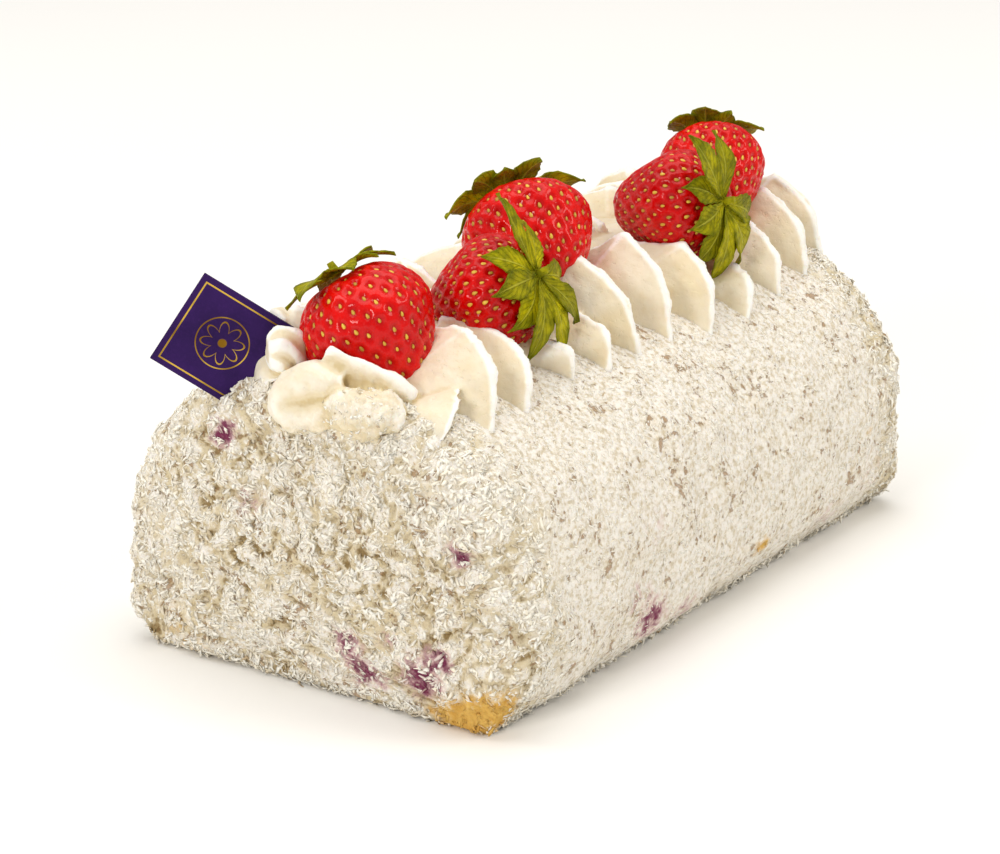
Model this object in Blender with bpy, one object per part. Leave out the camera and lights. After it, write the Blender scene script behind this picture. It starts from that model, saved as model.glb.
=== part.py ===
"""A strawberry swiss roll coated in shredded coconut, topped with piped cream and five berries.

Metres, +Z up. The roll lies along X on its flattened underside, and the origin is the
middle of that underside. The front of the cake is its -Y side, and the card stands at -X.
"""
import math
import random

import bmesh
import bpy
from mathutils import Matrix, Vector, noise
from mathutils.bvhtree import BVHTree

# Driving sizes of the roll
ROLL_LENGTH = 0.2034
ROLL_HEIGHT = 0.0810
FRONT_HALF = 0.0625          # half width at the waist, towards -Y
BACK_HALF = 0.0655           # half width at the waist, towards +Y
WAIST = 0.030                # height of the widest place
UPPER_POWER = 2.15           # 2 is an ellipse, more is squarer
LOWER_POWER = 3.0
LOWER_DROP = 0.0385          # half height of the curve under the waist, cut off by the underside
END_ROUND = 0.013            # rounding of the end faces' rims
END_ROUND_LOW = 0.004        # the same, along the underside
END_DOME = 0.0022            # how far the end faces bulge
CENTRE = Vector((0.0015, 0.036))   # Y and Z of the point that the end faces shrink to
FINE_STEPS = 80              # points of each quarter of the outline before it is evenly divided

# Mesh steps of the roll
OVER_STEPS = 31
UNDER_STEPS = 4
CAP_STEPS = 5
ROUND_STEPS = 3
SIDE_STEPS = 22

# Coating
CLUMP_SIZE = 0.0105
CLUMP_DEPTH = 0.0015
SWELL_SIZE = 0.034
SWELL_DEPTH = 0.0012
COVERED_FROM = 0.066         # the relief fades out between these heights, under the cream
COVERED_TO = 0.073
EVEN_TO = 0.006              # and below this height, towards the underside
SWELL_SHIFT = Vector((3.1, 0.4, 7.7))
UNDERSIDE = 0.0005           # a corner lower than this belongs to the underside
SHREDS = 64
SHRED_LENGTH = 0.0066
SHRED_WIDTH = 0.0019
SHRED_CLEARANCE = 0.0055     # from a shred's middle to the underside
SHRED_REACH = 0.0085         # from a shred's middle to the cream and the card
SHRED_DRAWS = 14             # the more draws, the more even the spread
COATING_SEED = 41

GAP = 0.0003                 # between pieces that touch
LEAF_GAP = 0.0006            # the same, round the leaves

# Card
CARD_SIDE = 0.0265
CARD_THICK = 0.0008
CARD_MIDDLE = Vector((-0.0974, 0.0309, 0.0861))
CARD_HEADING = math.radians(34.2)
CARD_TURN = math.radians(33.0)

# Cream
BED_HALF = Vector((0.093, 0.0275, 0.0130))
BED_MIDDLE = Vector((-0.001, 0.000, 0.0735))
BED_POWER = 0.62
FLUTE_DEPTH = 0.62           # share of the way from the rim to the heart
FLUTE_LEAN = 0.35            # how far a flute's inner edge lies back towards -X, as a share of its width
FLUTE_STEPS = 2
FLUTE_BELLY = 0.0038         # how far the rim swells outwards between foot and crest
FLUTE_SUNK = 0.0005          # depth of the foot in the roll
FLUTE_FOOT = 0.28            # width at the foot as a share of the widest
FLUTE_TOP = 0.86             # how far a flute thins out again towards its end
FLUTE_SWEEP = 0.15           # how far the rim runs on along the roll past the crest
FLUTE_END_Y = 0.0060         # where the rim runs out, near the middle of the roll
FLUTE_END_Z = 0.0885
HEART_Y = 0.0060
HEART_Z = 0.0720
# Section of a flute: across as a share of the width, inwards as a share of the depth
FLUTE_SECTION = ((-0.07, 0.0), (0.10, 0.0), (0.24, 0.30), (0.42, 1.0), (-0.74, 1.0), (-0.40, 0.50))
BED_SIDES = 20
BED_RINGS = 10
CREAM_GRAIN = 0.0009         # creases finer than this run together
SMOOTHINGS = 2
CREAM_TRIANGLES = 2900       # before the berries and the roll are cut out
CREAM_SEED = 12

# Front flutes: foot X and Y on the roll, then the crest's X, Y and Z, and the width
FRONT_FLUTES = (
    (-0.0965, -0.0350, -0.0780, -0.0270, 0.0820, 0.0085),
    (-0.0800, -0.0400, -0.0680, -0.0235, 0.0925, 0.0150),
    (-0.0640, -0.0395, -0.0560, -0.0260, 0.0880, 0.0130),
    (-0.0390, -0.0370, -0.0400, -0.0280, 0.0820, 0.0100),
    (-0.0250, -0.0390, -0.0205, -0.0270, 0.0835, 0.0110),
    (-0.0090, -0.0390, -0.0130, -0.0205, 0.0975, 0.0150),
    (0.0060, -0.0390, 0.0090, -0.0215, 0.0985, 0.0130),
    (0.0220, -0.0420, 0.0280, -0.0285, 0.0915, 0.0145),
    (0.0400, -0.0430, 0.0490, -0.0290, 0.0825, 0.0140),
    (0.0600, -0.0415, 0.0670, -0.0250, 0.0890, 0.0130),
    (0.0790, -0.0395, 0.0830, -0.0220, 0.0940, 0.0160),
    (0.0950, -0.0350, 0.0955, -0.0180, 0.0945, 0.0150),
)
# Back flutes: three to a stroke, laid out by a rule
BACK_STROKES = (-0.074, -0.038, -0.001, 0.037, 0.074)
BACK_FLUTE_STEP = 0.0122
BACK_FOOT = 0.0385
BACK_CREST = 0.0215
BACK_CREST_HEIGHT = 0.0945
BACK_GATHER = 0.45
BACK_WIDTH = 0.0150
BACK_DROP = 0.002            # how much lower the outer two flutes of a stroke are
# Flutes round the far end: foot X and Y, crest X, Y and Z, width
END_FLUTES = (
    (0.0985, -0.0170, 0.0880, -0.0080, 0.0930, 0.0140),
    (0.0995, -0.0010, 0.0880, 0.0010, 0.0930, 0.0140),
    (0.0975, 0.0160, 0.0870, 0.0090, 0.0930, 0.0140),
)
# Cream ropes at the near end: the points they follow, radius, number and depth of flutes, thickness as a
# share of the width, and how much thicker they get towards the last point
ROPES = (
    ("curl", ((-0.0985, -0.0083, 0.0827), (-0.1005, -0.0022, 0.0831), (-0.1012, 0.0054, 0.0793),
              (-0.1015, 0.0063, 0.0756), (-0.1015, 0.0007, 0.0743), (-0.1005, -0.0072, 0.0771)),
     0.0054, 0, 0.0, 1.0, 0.0),
    ("tuft", ((-0.0900, 0.0120, 0.0851), (-0.0940, 0.0136, 0.0865), (-0.0975, 0.0163, 0.0864)),
     0.0058, 5, 0.18, 1.0, 0.0),
    ("cradle", ((-0.0982, -0.0028, 0.0902), (-0.0966, -0.0091, 0.0870), (-0.0925, -0.0153, 0.0827),
                (-0.0885, -0.0203, 0.0784)), 0.0048, 0, 0.0, 0.55, 0.28),
    ("dusted", ((-0.1000, -0.0078, 0.0775), (-0.1006, -0.0130, 0.0772), (-0.0994, -0.0190, 0.0774),
                (-0.0960, -0.0240, 0.0772)), 0.0066, 3, 0.07, 0.9, -0.10),
    ("shelf", ((-0.0780, 0.0260, 0.0800), (-0.0850, 0.0230, 0.0880), (-0.0880, 0.0160, 0.0910)),
     0.0075, 5, 0.16, 1.0, 0.0),
)
ROPE_SIDES = 10
ROPE_STEPS = 3
ROPE_END = 0.35              # size of a rope's ends as a share of its middle
ROPE_TWIST = 2.0             # turn of the flutes from end to end
ROPE_GUIDE = Vector((1.0, 0.0, 0.25))

# Berries: middle, direction of the calyx, widest radius, how far the body reaches to calyx and tip
BERRIES = (
    ((-0.0780, -0.0004, 0.0910), (-0.05, 0.58, 0.81), 0.0186, 0.0150, 0.0198),
    ((-0.0420, -0.0150, 0.0935), (0.13, -0.88, 0.46), 0.0157, 0.0120, 0.0195),
    ((-0.0100, -0.0030, 0.0985), (0.48, 0.75, 0.45), 0.0176, 0.0130, 0.0190),
    ((0.0415, -0.0200, 0.0980), (0.03, -0.95, 0.20), 0.0158, 0.0122, 0.0205),
    ((0.0745, -0.0090, 0.0980), (0.71, 0.54, 0.43), 0.0160, 0.0120, 0.0190),
)
BERRY_SIDES = 18
BERRY_RINGS = 11
BERRY_DIMPLE = 0.0016        # depth of the hollow under the calyx
DIMPLE_WIDTH = 0.35          # the hollow's width as a share of the radius
BERRY_OVAL = 0.035
BERRY_SQUARE = 0.86          # less is a fuller shoulder
BERRY_TAPER = 0.16           # how much slimmer the half towards the tip is than an oval

# Calyxes
HUB_RADIUS = 0.0030
HUB_RISE = 0.35              # how far the hub stands up in the berry's hollow, as a share of its depth
SEPAL_STEPS = 4
SEPAL_THICK = 0.0007
SEPAL_WIDTH = 0.0084
SEPAL_FOLD = 0.0007          # how far a sepal's edges stand over its middle rib
SEPAL_TWIST = 0.0008
SEPAL_FOOT = math.radians(17)    # most of the hub's rim to each side of a sepal's middle
SEPAL_ROOM = math.radians(60)
SEPAL_GAP = 0.00015          # half the gap between two sepals that lie side by side
STRAIGHT_FROM = 0.3          # a sepal with more flare than this leaves the berry's skin
STRAIGHT_RISE = 0.1          # slope of a sepal that stands straight out
CALYX_SEED = 7
STALK_RADIUS = 0.0011
STALK_FOOT = 0.00165
STALK_SIDES = 7
STALK_LENGTH = 0.0030
# Each calyx's sepals: heading round the hub in degrees, length in millimetres, flare away from the berry
SEPALS = (
    ((5, 15, 0.40), (52, 11, 0.02), (97, 9, 0.02), (138, 12, 0.05), (180, 12, 0.45), (232, 13, 0.05),
     (295, 11, 0.24)),
    ((98, 20, 0.90), (52, 13, 0.20), (138, 13, 0.06), (178, 13, 0.04), (215, 14, 0.04), (245, 17, 0.24),
     (280, 17, 0.42), (312, 15, 0.52), (346, 14, 0.20)),
    ((8, 17, 0.22), (335, 13, 0.10), (42, 14, 0.20), (70, 12, 0.16), (105, 13, 0.20), (150, 16, 0.18),
     (240, 13, 0.10)),
    ((119, 19, 0.80), (74, 13, 0.45), (152, 12, 0.04), (198, 11, 0.04), (236, 15, 0.16), (266, 18, 0.30),
     (298, 17, 0.42), (336, 14, 0.30)),
    ((50, 15, 0.14), (84, 13, 0.16), (114, 11, 0.12), (146, 15, 0.12), (205, 13, 0.06), (262, 10, 0.22),
     (322, 13, 0.06)),
)


def clear_scene():
    for obj in list(bpy.data.objects):
        bpy.data.objects.remove(obj, do_unlink=True)


def finish_material(name, colour, roughness):
    mat = bpy.data.materials.new(name)
    mat.use_nodes = True
    shader = mat.node_tree.nodes["Principled BSDF"]
    shader.inputs["Base Color"].default_value = (*colour, 1.0)
    shader.inputs["Roughness"].default_value = roughness
    shader.inputs["Metallic"].default_value = 0.0
    return mat


def object_from(name, bm, mat=None):
    """An object of this mesh, which is used up."""
    mesh = bpy.data.meshes.new(name)
    bm.to_mesh(mesh)
    bm.free()
    obj = bpy.data.objects.new(name, mesh)
    bpy.context.scene.collection.objects.link(obj)
    if mat:
        mesh.materials.append(mat)
    return obj


def settle(obj):
    """Turn the object's modifiers into its mesh."""
    graph = bpy.context.evaluated_depsgraph_get()
    mesh = bpy.data.meshes.new_from_object(obj.evaluated_get(graph))
    obj.modifiers.clear()
    obj.data = mesh


def combine(obj, others, operation, solver="EXACT"):
    """Join the other objects to this one, or cut them from it, by one Boolean on a collection."""
    group = bpy.data.collections.new(obj.name + "_group")
    for other in others:
        group.objects.link(other)
    boolean = obj.modifiers.new(operation.lower(), "BOOLEAN")
    boolean.operation = operation
    boolean.operand_type = "COLLECTION"
    boolean.collection = group
    boolean.solver = solver
    settle(obj)
    for other in list(group.objects):
        bpy.data.objects.remove(other, do_unlink=True)
    bpy.data.collections.remove(group)


def shells_of(bm):
    """The mesh's separate shells, as lists of faces."""
    bm.faces.ensure_lookup_table()
    seen = set()
    shells = []
    for face in bm.faces:
        if face in seen:
            continue
        seen.add(face)
        shell = [face]
        for member in shell:
            for edge in member.edges:
                for near in edge.link_faces:
                    if near not in seen:
                        seen.add(near)
                        shell.append(near)
        shells.append(shell)
    return shells


def face_outwards(bm):
    if bm.calc_volume(signed=True) < 0:
        bmesh.ops.reverse_faces(bm, faces=bm.faces)


def keep_largest(obj):
    """Drop loose scraps and sealed hollows, so that one shell is left."""
    bm = bmesh.new()
    bm.from_mesh(obj.data)
    shells = sorted(shells_of(bm), key=lambda shell: sum(face.calc_area() for face in shell))
    scraps = [face for shell in shells[:-1] for face in shell]
    bmesh.ops.delete(bm, geom=scraps, context="FACES")
    face_outwards(bm)
    bm.to_mesh(obj.data)
    bm.free()


def smoothstep(low, high, value):
    share = min(1.0, max(0.0, (value - low) / (high - low)))
    return share * share * (3.0 - 2.0 * share)


def spread(points, count):
    """The same line as count + 1 evenly spaced points."""
    lengths = [0.0]
    for a, b in zip(points, points[1:]):
        lengths.append(lengths[-1] + (b - a).length)
    result = []
    step = 0
    for i in range(count + 1):
        goal = lengths[-1] * i / count
        while step < len(lengths) - 2 and lengths[step + 1] < goal:
            step += 1
        share = (goal - lengths[step]) / (lengths[step + 1] - lengths[step])
        result.append(points[step].lerp(points[step + 1], share))
    return result


def roll_outline():
    """The roll's section as (Y, Z) points: over the top from front to back, then along the underside."""
    half = []
    low_turn = math.asin((WAIST / LOWER_DROP) ** (LOWER_POWER / 2))
    for i in range(FINE_STEPS, 0, -1):
        turn = low_turn * i / FINE_STEPS
        drop = LOWER_DROP * math.sin(turn) ** (2 / LOWER_POWER)
        half.append((math.cos(turn) ** (2 / LOWER_POWER), WAIST - drop))
    rise = ROLL_HEIGHT - WAIST
    for i in range(FINE_STEPS + 1):
        turn = math.pi / 2 * i / FINE_STEPS
        height = WAIST + rise * math.sin(turn) ** (2 / UPPER_POWER)
        half.append((max(0.0, math.cos(turn)) ** (2 / UPPER_POWER), height))
    half[0] = (half[0][0], 0.0)
    front = [Vector((-FRONT_HALF * y, z)) for y, z in half]
    back = [Vector((BACK_HALF * y, z)) for y, z in reversed(half[:-1])]
    over = spread(front + back, OVER_STEPS)
    under = [over[-1].lerp(over[0], i / UNDER_STEPS) for i in range(1, UNDER_STEPS)]
    return over + under


def roll_top(x, y):
    """Height of the roll's smooth surface above the waist at this place."""
    half = FRONT_HALF if y < 0 else BACK_HALF
    share = max(0.0, 1.0 - abs(y / half) ** UPPER_POWER)
    inset = max(0.0, abs(x) - (ROLL_LENGTH / 2 - END_ROUND))
    drop = END_ROUND - math.sqrt(max(0.0, END_ROUND ** 2 - inset ** 2))
    return WAIST + (ROLL_HEIGHT - WAIST) * share ** (1 / UPPER_POWER) - drop


def roll_stations():
    """Along the roll from pole to pole: X, the end it belongs to, turn of its rounding, size of its cap."""
    half = ROLL_LENGTH / 2
    near = [(-half, -1, 0.0, i / CAP_STEPS) for i in range(CAP_STEPS)]
    near += [(-half, -1, math.pi / 2 * i / ROUND_STEPS, 1.0) for i in range(ROUND_STEPS + 1)]
    straight = half - END_ROUND
    side = [(straight * (2 * i / SIDE_STEPS - 1), 0, math.pi / 2, 1.0) for i in range(1, SIDE_STEPS)]
    far = [(-x, -end, turn, cap) for x, end, turn, cap in reversed(near)]
    return near + side + far


def roll_place(station, spot):
    x, end, turn, cap = station
    rounding = END_ROUND_LOW + (END_ROUND - END_ROUND_LOW) * smoothstep(0.0, WAIST, spot.y)
    x -= end * rounding * (1.0 - math.cos(turn))
    x += end * END_DOME * (1.0 - cap * cap)
    inwards = CENTRE - spot
    place = spot + inwards * (rounding * (1.0 - math.sin(turn)) / inwards.length)
    place = CENTRE.lerp(place, cap)
    return Vector((x, place.x, place.y))


def relief(place):
    """Height of the coating's lumps over the smooth roll."""
    lumps = noise.noise(place / CLUMP_SIZE) * CLUMP_DEPTH
    swell = noise.noise(place / SWELL_SIZE + SWELL_SHIFT) * SWELL_DEPTH
    bare = smoothstep(0.0, EVEN_TO, place.z) * (1.0 - smoothstep(COVERED_FROM, COVERED_TO, place.z))
    return (lumps + swell) * bare


def roll_mesh(grow=0.0):
    """The roll as a globe whose poles lie in the middle of its end faces, wrapped round its outline."""
    outline = roll_outline()
    stations = roll_stations()
    around = len(outline)
    bm = bmesh.new()
    bmesh.ops.create_uvsphere(bm, u_segments=around, v_segments=len(stations) - 1, radius=1.0)
    for vert in bm.verts:
        ring = round(math.acos(max(-1.0, min(1.0, vert.co.z))) / math.pi * (len(stations) - 1))
        spot = round(math.atan2(vert.co.y, vert.co.x) / math.tau * around) % around
        vert.co = roll_place(stations[ring], outline[spot])
    face_outwards(bm)
    bm.normal_update()
    moves = [(vert, vert.normal * (relief(vert.co) + grow)) for vert in bm.verts]
    for vert, move in moves:
        if vert.co.z > UNDERSIDE or grow > 0.0:
            vert.co += move
    bmesh.ops.triangulate(bm, faces=bm.faces)
    return bm


def flat_underside(bm):
    """Join the faces of the underside into one flat face."""
    for vert in bm.verts:
        if vert.co.z < UNDERSIDE:
            vert.co.z = 0.0
    floor = [face for face in bm.faces if all(vert.co.z == 0.0 for vert in face.verts)]
    bmesh.ops.dissolve_faces(bm, faces=floor)
    bmesh.ops.triangulate(bm, faces=bm.faces)


def card_mesh(grow=0.0):
    bm = bmesh.new()
    bmesh.ops.create_cube(bm, size=1.0)
    side = CARD_SIDE + 2 * grow
    bmesh.ops.scale(bm, vec=(CARD_THICK + 2 * grow, side, side), verts=bm.verts)
    turn = Matrix.Rotation(CARD_HEADING, 4, "Z") @ Matrix.Rotation(CARD_TURN, 4, "X")
    bmesh.ops.transform(bm, matrix=Matrix.Translation(CARD_MIDDLE) @ turn, verts=bm.verts)
    return bm


def facing(direction):
    """A frame whose Z points along the direction and whose Y leans up."""
    return Vector(direction).to_track_quat("Z", "Y").to_matrix().to_4x4()


def berry_place(index):
    middle, direction = BERRIES[index][:2]
    return Matrix.Translation(middle) @ facing(direction)


def berry_ring(index, turn):
    """Radius and height of the berry's skin, from the calyx at 0 to the tip at pi."""
    radius, top, tip = BERRIES[index][2:]
    out = radius * math.sin(turn) ** BERRY_SQUARE
    reach = top if turn < math.pi / 2 else tip
    height = reach * math.cos(turn)
    if turn > math.pi / 2:
        out *= 1.0 - BERRY_TAPER * math.sin(2 * turn - math.pi)
    else:
        height -= BERRY_DIMPLE * math.exp(-(out / (DIMPLE_WIDTH * radius)) ** 2)
    return out, height


def berry_oval(index, heading):
    return 1.0 + BERRY_OVAL * math.sin(2 * heading + index) + 0.4 * BERRY_OVAL * math.sin(3 * heading)


def berry_mesh(index, grow=0.0):
    bm = bmesh.new()
    bmesh.ops.create_uvsphere(bm, u_segments=BERRY_SIDES, v_segments=BERRY_RINGS, radius=1.0)
    for vert in bm.verts:
        out, height = berry_ring(index, math.acos(max(-1.0, min(1.0, vert.co.z))))
        heading = math.atan2(vert.co.y, vert.co.x)
        out *= berry_oval(index, heading)
        vert.co = Vector((out * math.cos(heading), out * math.sin(heading), height))
    bm.normal_update()
    for vert in bm.verts:
        vert.co += vert.normal * grow
    bmesh.ops.transform(bm, matrix=berry_place(index), verts=bm.verts)
    bmesh.ops.triangulate(bm, faces=bm.faces)
    return bm


def berry_skin(index, heading):
    """The berry's outline from the middle of its calyx to its tip, as (distance from the axis, height)."""
    rings = [berry_ring(index, math.pi * i / FINE_STEPS) for i in range(FINE_STEPS + 1)]
    oval = berry_oval(index, heading)
    return [Vector((out * oval, height)) for out, height in rings]


def along(line, length):
    """The place and the direction at this length along a line."""
    for a, b in zip(line, line[1:]):
        step = (b - a).length
        if length <= step:
            return a.lerp(b, length / step), (b - a).normalized()
        length -= step
    return line[-1], (line[-1] - line[-2]).normalized()


def sepal_spine(index, heading, length, flare):
    """A sepal's middle line from hub to tip. Flare 0 follows the berry's skin, and 1 stands straight out."""
    outline = berry_skin(index, heading)
    spine = []
    for step in range(1, SEPAL_STEPS + 1):
        share = step / SEPAL_STEPS
        place, ahead = along(outline, HUB_RADIUS + length * share)
        outwards = Vector((-ahead.y, ahead.x))
        clear = 2.5 * GAP + SEPAL_THICK + flare * length * share ** 1.6
        straight = Vector((HUB_RADIUS + length * share, hub_height(index) + STRAIGHT_RISE * length * share))
        spine.append((place + outwards * clear).lerp(straight, smoothstep(STRAIGHT_FROM, 1.0, flare)))
    return spine


def hub_height(index):
    return berry_ring(index, 0.0)[1] + BERRY_DIMPLE * HUB_RISE + 2 * GAP + SEPAL_THICK


def room_beside(headings, number):
    """Half the turn from this sepal to the nearer of its two neighbours."""
    before = headings[number] - headings[number - 1]
    after = headings[(number + 1) % len(headings)] - headings[number]
    return min(before % math.tau, after % math.tau, 2 * SEPAL_ROOM) / 2


def calyx_sheet(index, grow):
    """A hub and its sepals as one sheet: every third edge of the hub is a gap between two sepals."""
    rng = random.Random(CALYX_SEED + index)
    sepals = sorted(SEPALS[index])
    headings = [math.radians(sepal[0]) for sepal in sepals]
    bm = bmesh.new()
    bmesh.ops.create_circle(bm, cap_ends=True, segments=3 * len(sepals), radius=HUB_RADIUS)
    bmesh.ops.translate(bm, vec=(0, 0, hub_height(index)), verts=bm.verts)
    rim = sorted(bm.verts, key=lambda vert: math.atan2(vert.co.y, vert.co.x) % math.tau)
    for number, (_, millimetres, flare) in enumerate(sepals):
        heading = headings[number]
        room = room_beside(headings, number)
        foot = min(SEPAL_FOOT, 0.8 * room)
        trio = rim[3 * number:3 * number + 3]
        for k, vert in enumerate(trio):
            turn = heading + (k - 1) * foot
            vert.co.x = HUB_RADIUS * math.cos(turn)
            vert.co.y = HUB_RADIUS * math.sin(turn)
        spine = sepal_spine(index, heading, millimetres / 1000 + grow, flare)
        width = SEPAL_WIDTH * rng.uniform(0.85, 1.15)
        halves = sepal_halves(spine, width, room, grow)
        grow_sepal(bm, trio, heading, spine, halves, rng.uniform(-SEPAL_TWIST, SEPAL_TWIST))
    if max(bm.faces, key=lambda face: len(face.verts)).normal.z < 0:
        bmesh.ops.reverse_faces(bm, faces=bm.faces)
    bmesh.ops.triangulate(bm, faces=bm.faces)
    return bm


def sepal_halves(spine, width, room, grow):
    """A sepal's half widths along its spine: a broad, pointed leaf that stays clear of its neighbours."""
    halves = []
    for step, spot in enumerate(spine):
        share = (step + 1) / len(spine)
        half = width / 2 * min(1.0, 0.30 + 1.5 * share) * (1.0 - smoothstep(0.55, 1.15, share)) ** 0.8
        halves.append(min(half, spot.x * math.tan(room) - SEPAL_GAP) + grow)
    return halves


def grow_sepal(bm, trio, heading, spine, halves, twist):
    """Draw one sepal out of three corners of the hub, ring by ring."""
    side = Vector((-math.sin(heading), math.cos(heading), 0))
    radial = Vector((math.cos(heading), math.sin(heading), 0))
    for step, (spot, half) in enumerate(zip(spine, halves)):
        share = (step + 1) / len(spine)
        fresh = []
        for k in range(3):
            lift = abs(k - 1) * SEPAL_FOLD + (k - 1) * twist * share
            place = radial * spot.x + side * ((k - 1) * half) + Vector((0, 0, spot.y + lift))
            fresh.append(bm.verts.new(place))
        bm.faces.new((trio[0], fresh[0], fresh[1], trio[1]))
        bm.faces.new((trio[1], fresh[1], fresh[2], trio[2]))
        trio = fresh


def curve_through(points, steps):
    """A smooth line through the points, with this many steps from each point to the next."""
    knots = [Vector(p) for p in points]
    knots = [2 * knots[0] - knots[1]] + knots + [2 * knots[-1] - knots[-2]]
    line = []
    for a, b, c, d in zip(knots, knots[1:], knots[2:], knots[3:]):
        for i in range(steps):
            t = i / steps
            line.append(0.5 * (2 * b + (c - a) * t + (2 * a - 5 * b + 4 * c - d) * t * t
                               + (3 * b - a - 3 * c + d) * t ** 3))
    return line + [knots[-2]]


def skin(rings):
    """A closed body over a row of rings with equally many corners."""
    bm = bmesh.new()
    rings = [[bm.verts.new(place) for place in ring] for ring in rings]
    for ring, following in zip(rings, rings[1:]):
        for k in range(len(ring)):
            bm.faces.new((ring[k - 1], ring[k], following[k], following[k - 1]))
    bm.faces.new(list(reversed(rings[0])))
    bm.faces.new(rings[-1])
    face_outwards(bm)
    return bm


def rope_mesh(points, radius, flutes, depth, flat, growth):
    """A piped rope of cream: a round or fluted ring carried along a smooth line, with tapered ends."""
    line = curve_through(points, ROPE_STEPS)
    rings = []
    for i, place in enumerate(line):
        ahead = (line[min(i + 1, len(line) - 1)] - line[max(i - 1, 0)]).normalized()
        across = (ROPE_GUIDE - ahead * ROPE_GUIDE.dot(ahead)).normalized()
        over = across.cross(ahead)
        share = i / (len(line) - 1)
        taper = ROPE_END + (1.0 - ROPE_END) * math.sin(math.pi * (0.06 + 0.88 * share)) ** 0.45
        taper *= 1.0 + growth * (2 * share - 1)
        ring = []
        for k in range(ROPE_SIDES):
            turn = math.tau * k / ROPE_SIDES
            size = radius * taper * (1.0 + depth * math.cos(flutes * turn + ROPE_TWIST * share))
            ring.append(place + across * (size * flat * math.cos(turn)) + over * (size * math.sin(turn)))
        rings.append(ring)
    return skin(rings)


def flute_rim(flute):
    """The rim of a flute: from its foot on the roll, out and up to the crest, and straight to the middle."""
    foot_x, foot_y, crest_x, crest_y, crest_z, width = flute
    foot = Vector((foot_x, foot_y, roll_top(foot_x, foot_y) - FLUTE_SUNK))
    crest = Vector((crest_x, crest_y, crest_z))
    belly = foot.lerp(crest, 0.48) + Vector((0.0, math.copysign(FLUTE_BELLY, foot_y), FLUTE_BELLY))
    end_x = crest_x + FLUTE_SWEEP * (crest_x - foot_x)
    end = Vector((end_x, math.copysign(FLUTE_END_Y, crest_y), FLUTE_END_Z))
    rim = curve_through((foot, belly, crest), FLUTE_STEPS)
    return rim + [crest.lerp(end, (i + 1) / FLUTE_STEPS) for i in range(FLUTE_STEPS)]


def flute_mesh(flute):
    """One flute of a piped stroke: a wedge whose rim arches over a heart inside the cream."""
    rim = flute_rim(flute)
    width = flute[5]
    heart = Vector(((flute[0] + flute[2]) / 2, math.copysign(HEART_Y, flute[1]), HEART_Z))
    rings = []
    for i, place in enumerate(rim):
        share = i / (len(rim) - 1)
        swell = math.sin(math.pi * min(FLUTE_TOP, 0.08 + 1.05 * share)) ** 0.8
        size = width * (FLUTE_FOOT + (1.0 - FLUTE_FOOT) * swell)
        ring = []
        for across, inwards in FLUTE_SECTION:
            spot = place.lerp(heart, inwards * FLUTE_DEPTH)
            ring.append(spot + Vector((across * size - FLUTE_LEAN * inwards * width, 0.0, 0.0)))
        rings.append(ring)
    return skin(rings)


def back_flutes():
    rng = random.Random(CREAM_SEED)
    flutes = []
    for stroke in BACK_STROKES:
        for k in (-1, 0, 1):
            foot_x = stroke + k * BACK_FLUTE_STEP + rng.uniform(-0.001, 0.001)
            crest_x = stroke + k * BACK_FLUTE_STEP * BACK_GATHER
            foot_y = BACK_FOOT + rng.uniform(-0.0025, 0.0025)
            crest_z = BACK_CREST_HEIGHT + rng.uniform(-0.004, 0.003) - abs(k) * BACK_DROP
            width = BACK_WIDTH * rng.uniform(0.9, 1.1)
            flutes.append((foot_x, foot_y, crest_x, BACK_CREST, crest_z, width))
    return flutes


def bed_mesh():
    """The long mound of cream that the flutes and berries stand on."""
    bm = bmesh.new()
    bmesh.ops.create_uvsphere(bm, u_segments=BED_SIDES, v_segments=BED_RINGS, radius=1.0)
    for vert in bm.verts:
        for axis in range(3):
            size = abs(vert.co[axis]) ** BED_POWER
            vert.co[axis] = BED_MIDDLE[axis] + math.copysign(size * BED_HALF[axis], vert.co[axis])
    return bm


def soften(cream):
    """Run the flutes into one skin with rounded creases."""
    remesh = cream.modifiers.new("run_together", "REMESH")
    remesh.mode = "VOXEL"
    remesh.voxel_size = CREAM_GRAIN
    smooth = cream.modifiers.new("smooth", "SMOOTH")
    smooth.factor = 0.5
    smooth.iterations = SMOOTHINGS
    settle(cream)
    triangles = sum(len(face.vertices) - 2 for face in cream.data.polygons)
    fewer = cream.modifiers.new("fewer", "DECIMATE")
    fewer.ratio = CREAM_TRIANGLES / triangles
    settle(cream)


def make_cream(mat):
    cream = object_from("piped_cream", bed_mesh(), mat)
    flutes = list(FRONT_FLUTES) + back_flutes() + list(END_FLUTES)
    parts = [object_from("flute", flute_mesh(flute)) for flute in flutes]
    parts += [object_from(name, rope_mesh(*rope)) for name, *rope in ROPES]
    combine(cream, parts, "UNION", "MANIFOLD")
    soften(cream)
    cutters = [object_from("roll_cut", roll_mesh(GAP)), object_from("card_cut", card_mesh(GAP))]
    cutters += [object_from("berry_cut", berry_mesh(i, GAP)) for i in range(len(BERRIES))]
    cutters += [calyx_body(i, LEAF_GAP) for i in range(len(BERRIES))]
    combine(cream, cutters, "DIFFERENCE", "MANIFOLD")
    keep_largest(cream)
    cream.data.shade_smooth()
    return cream


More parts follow.
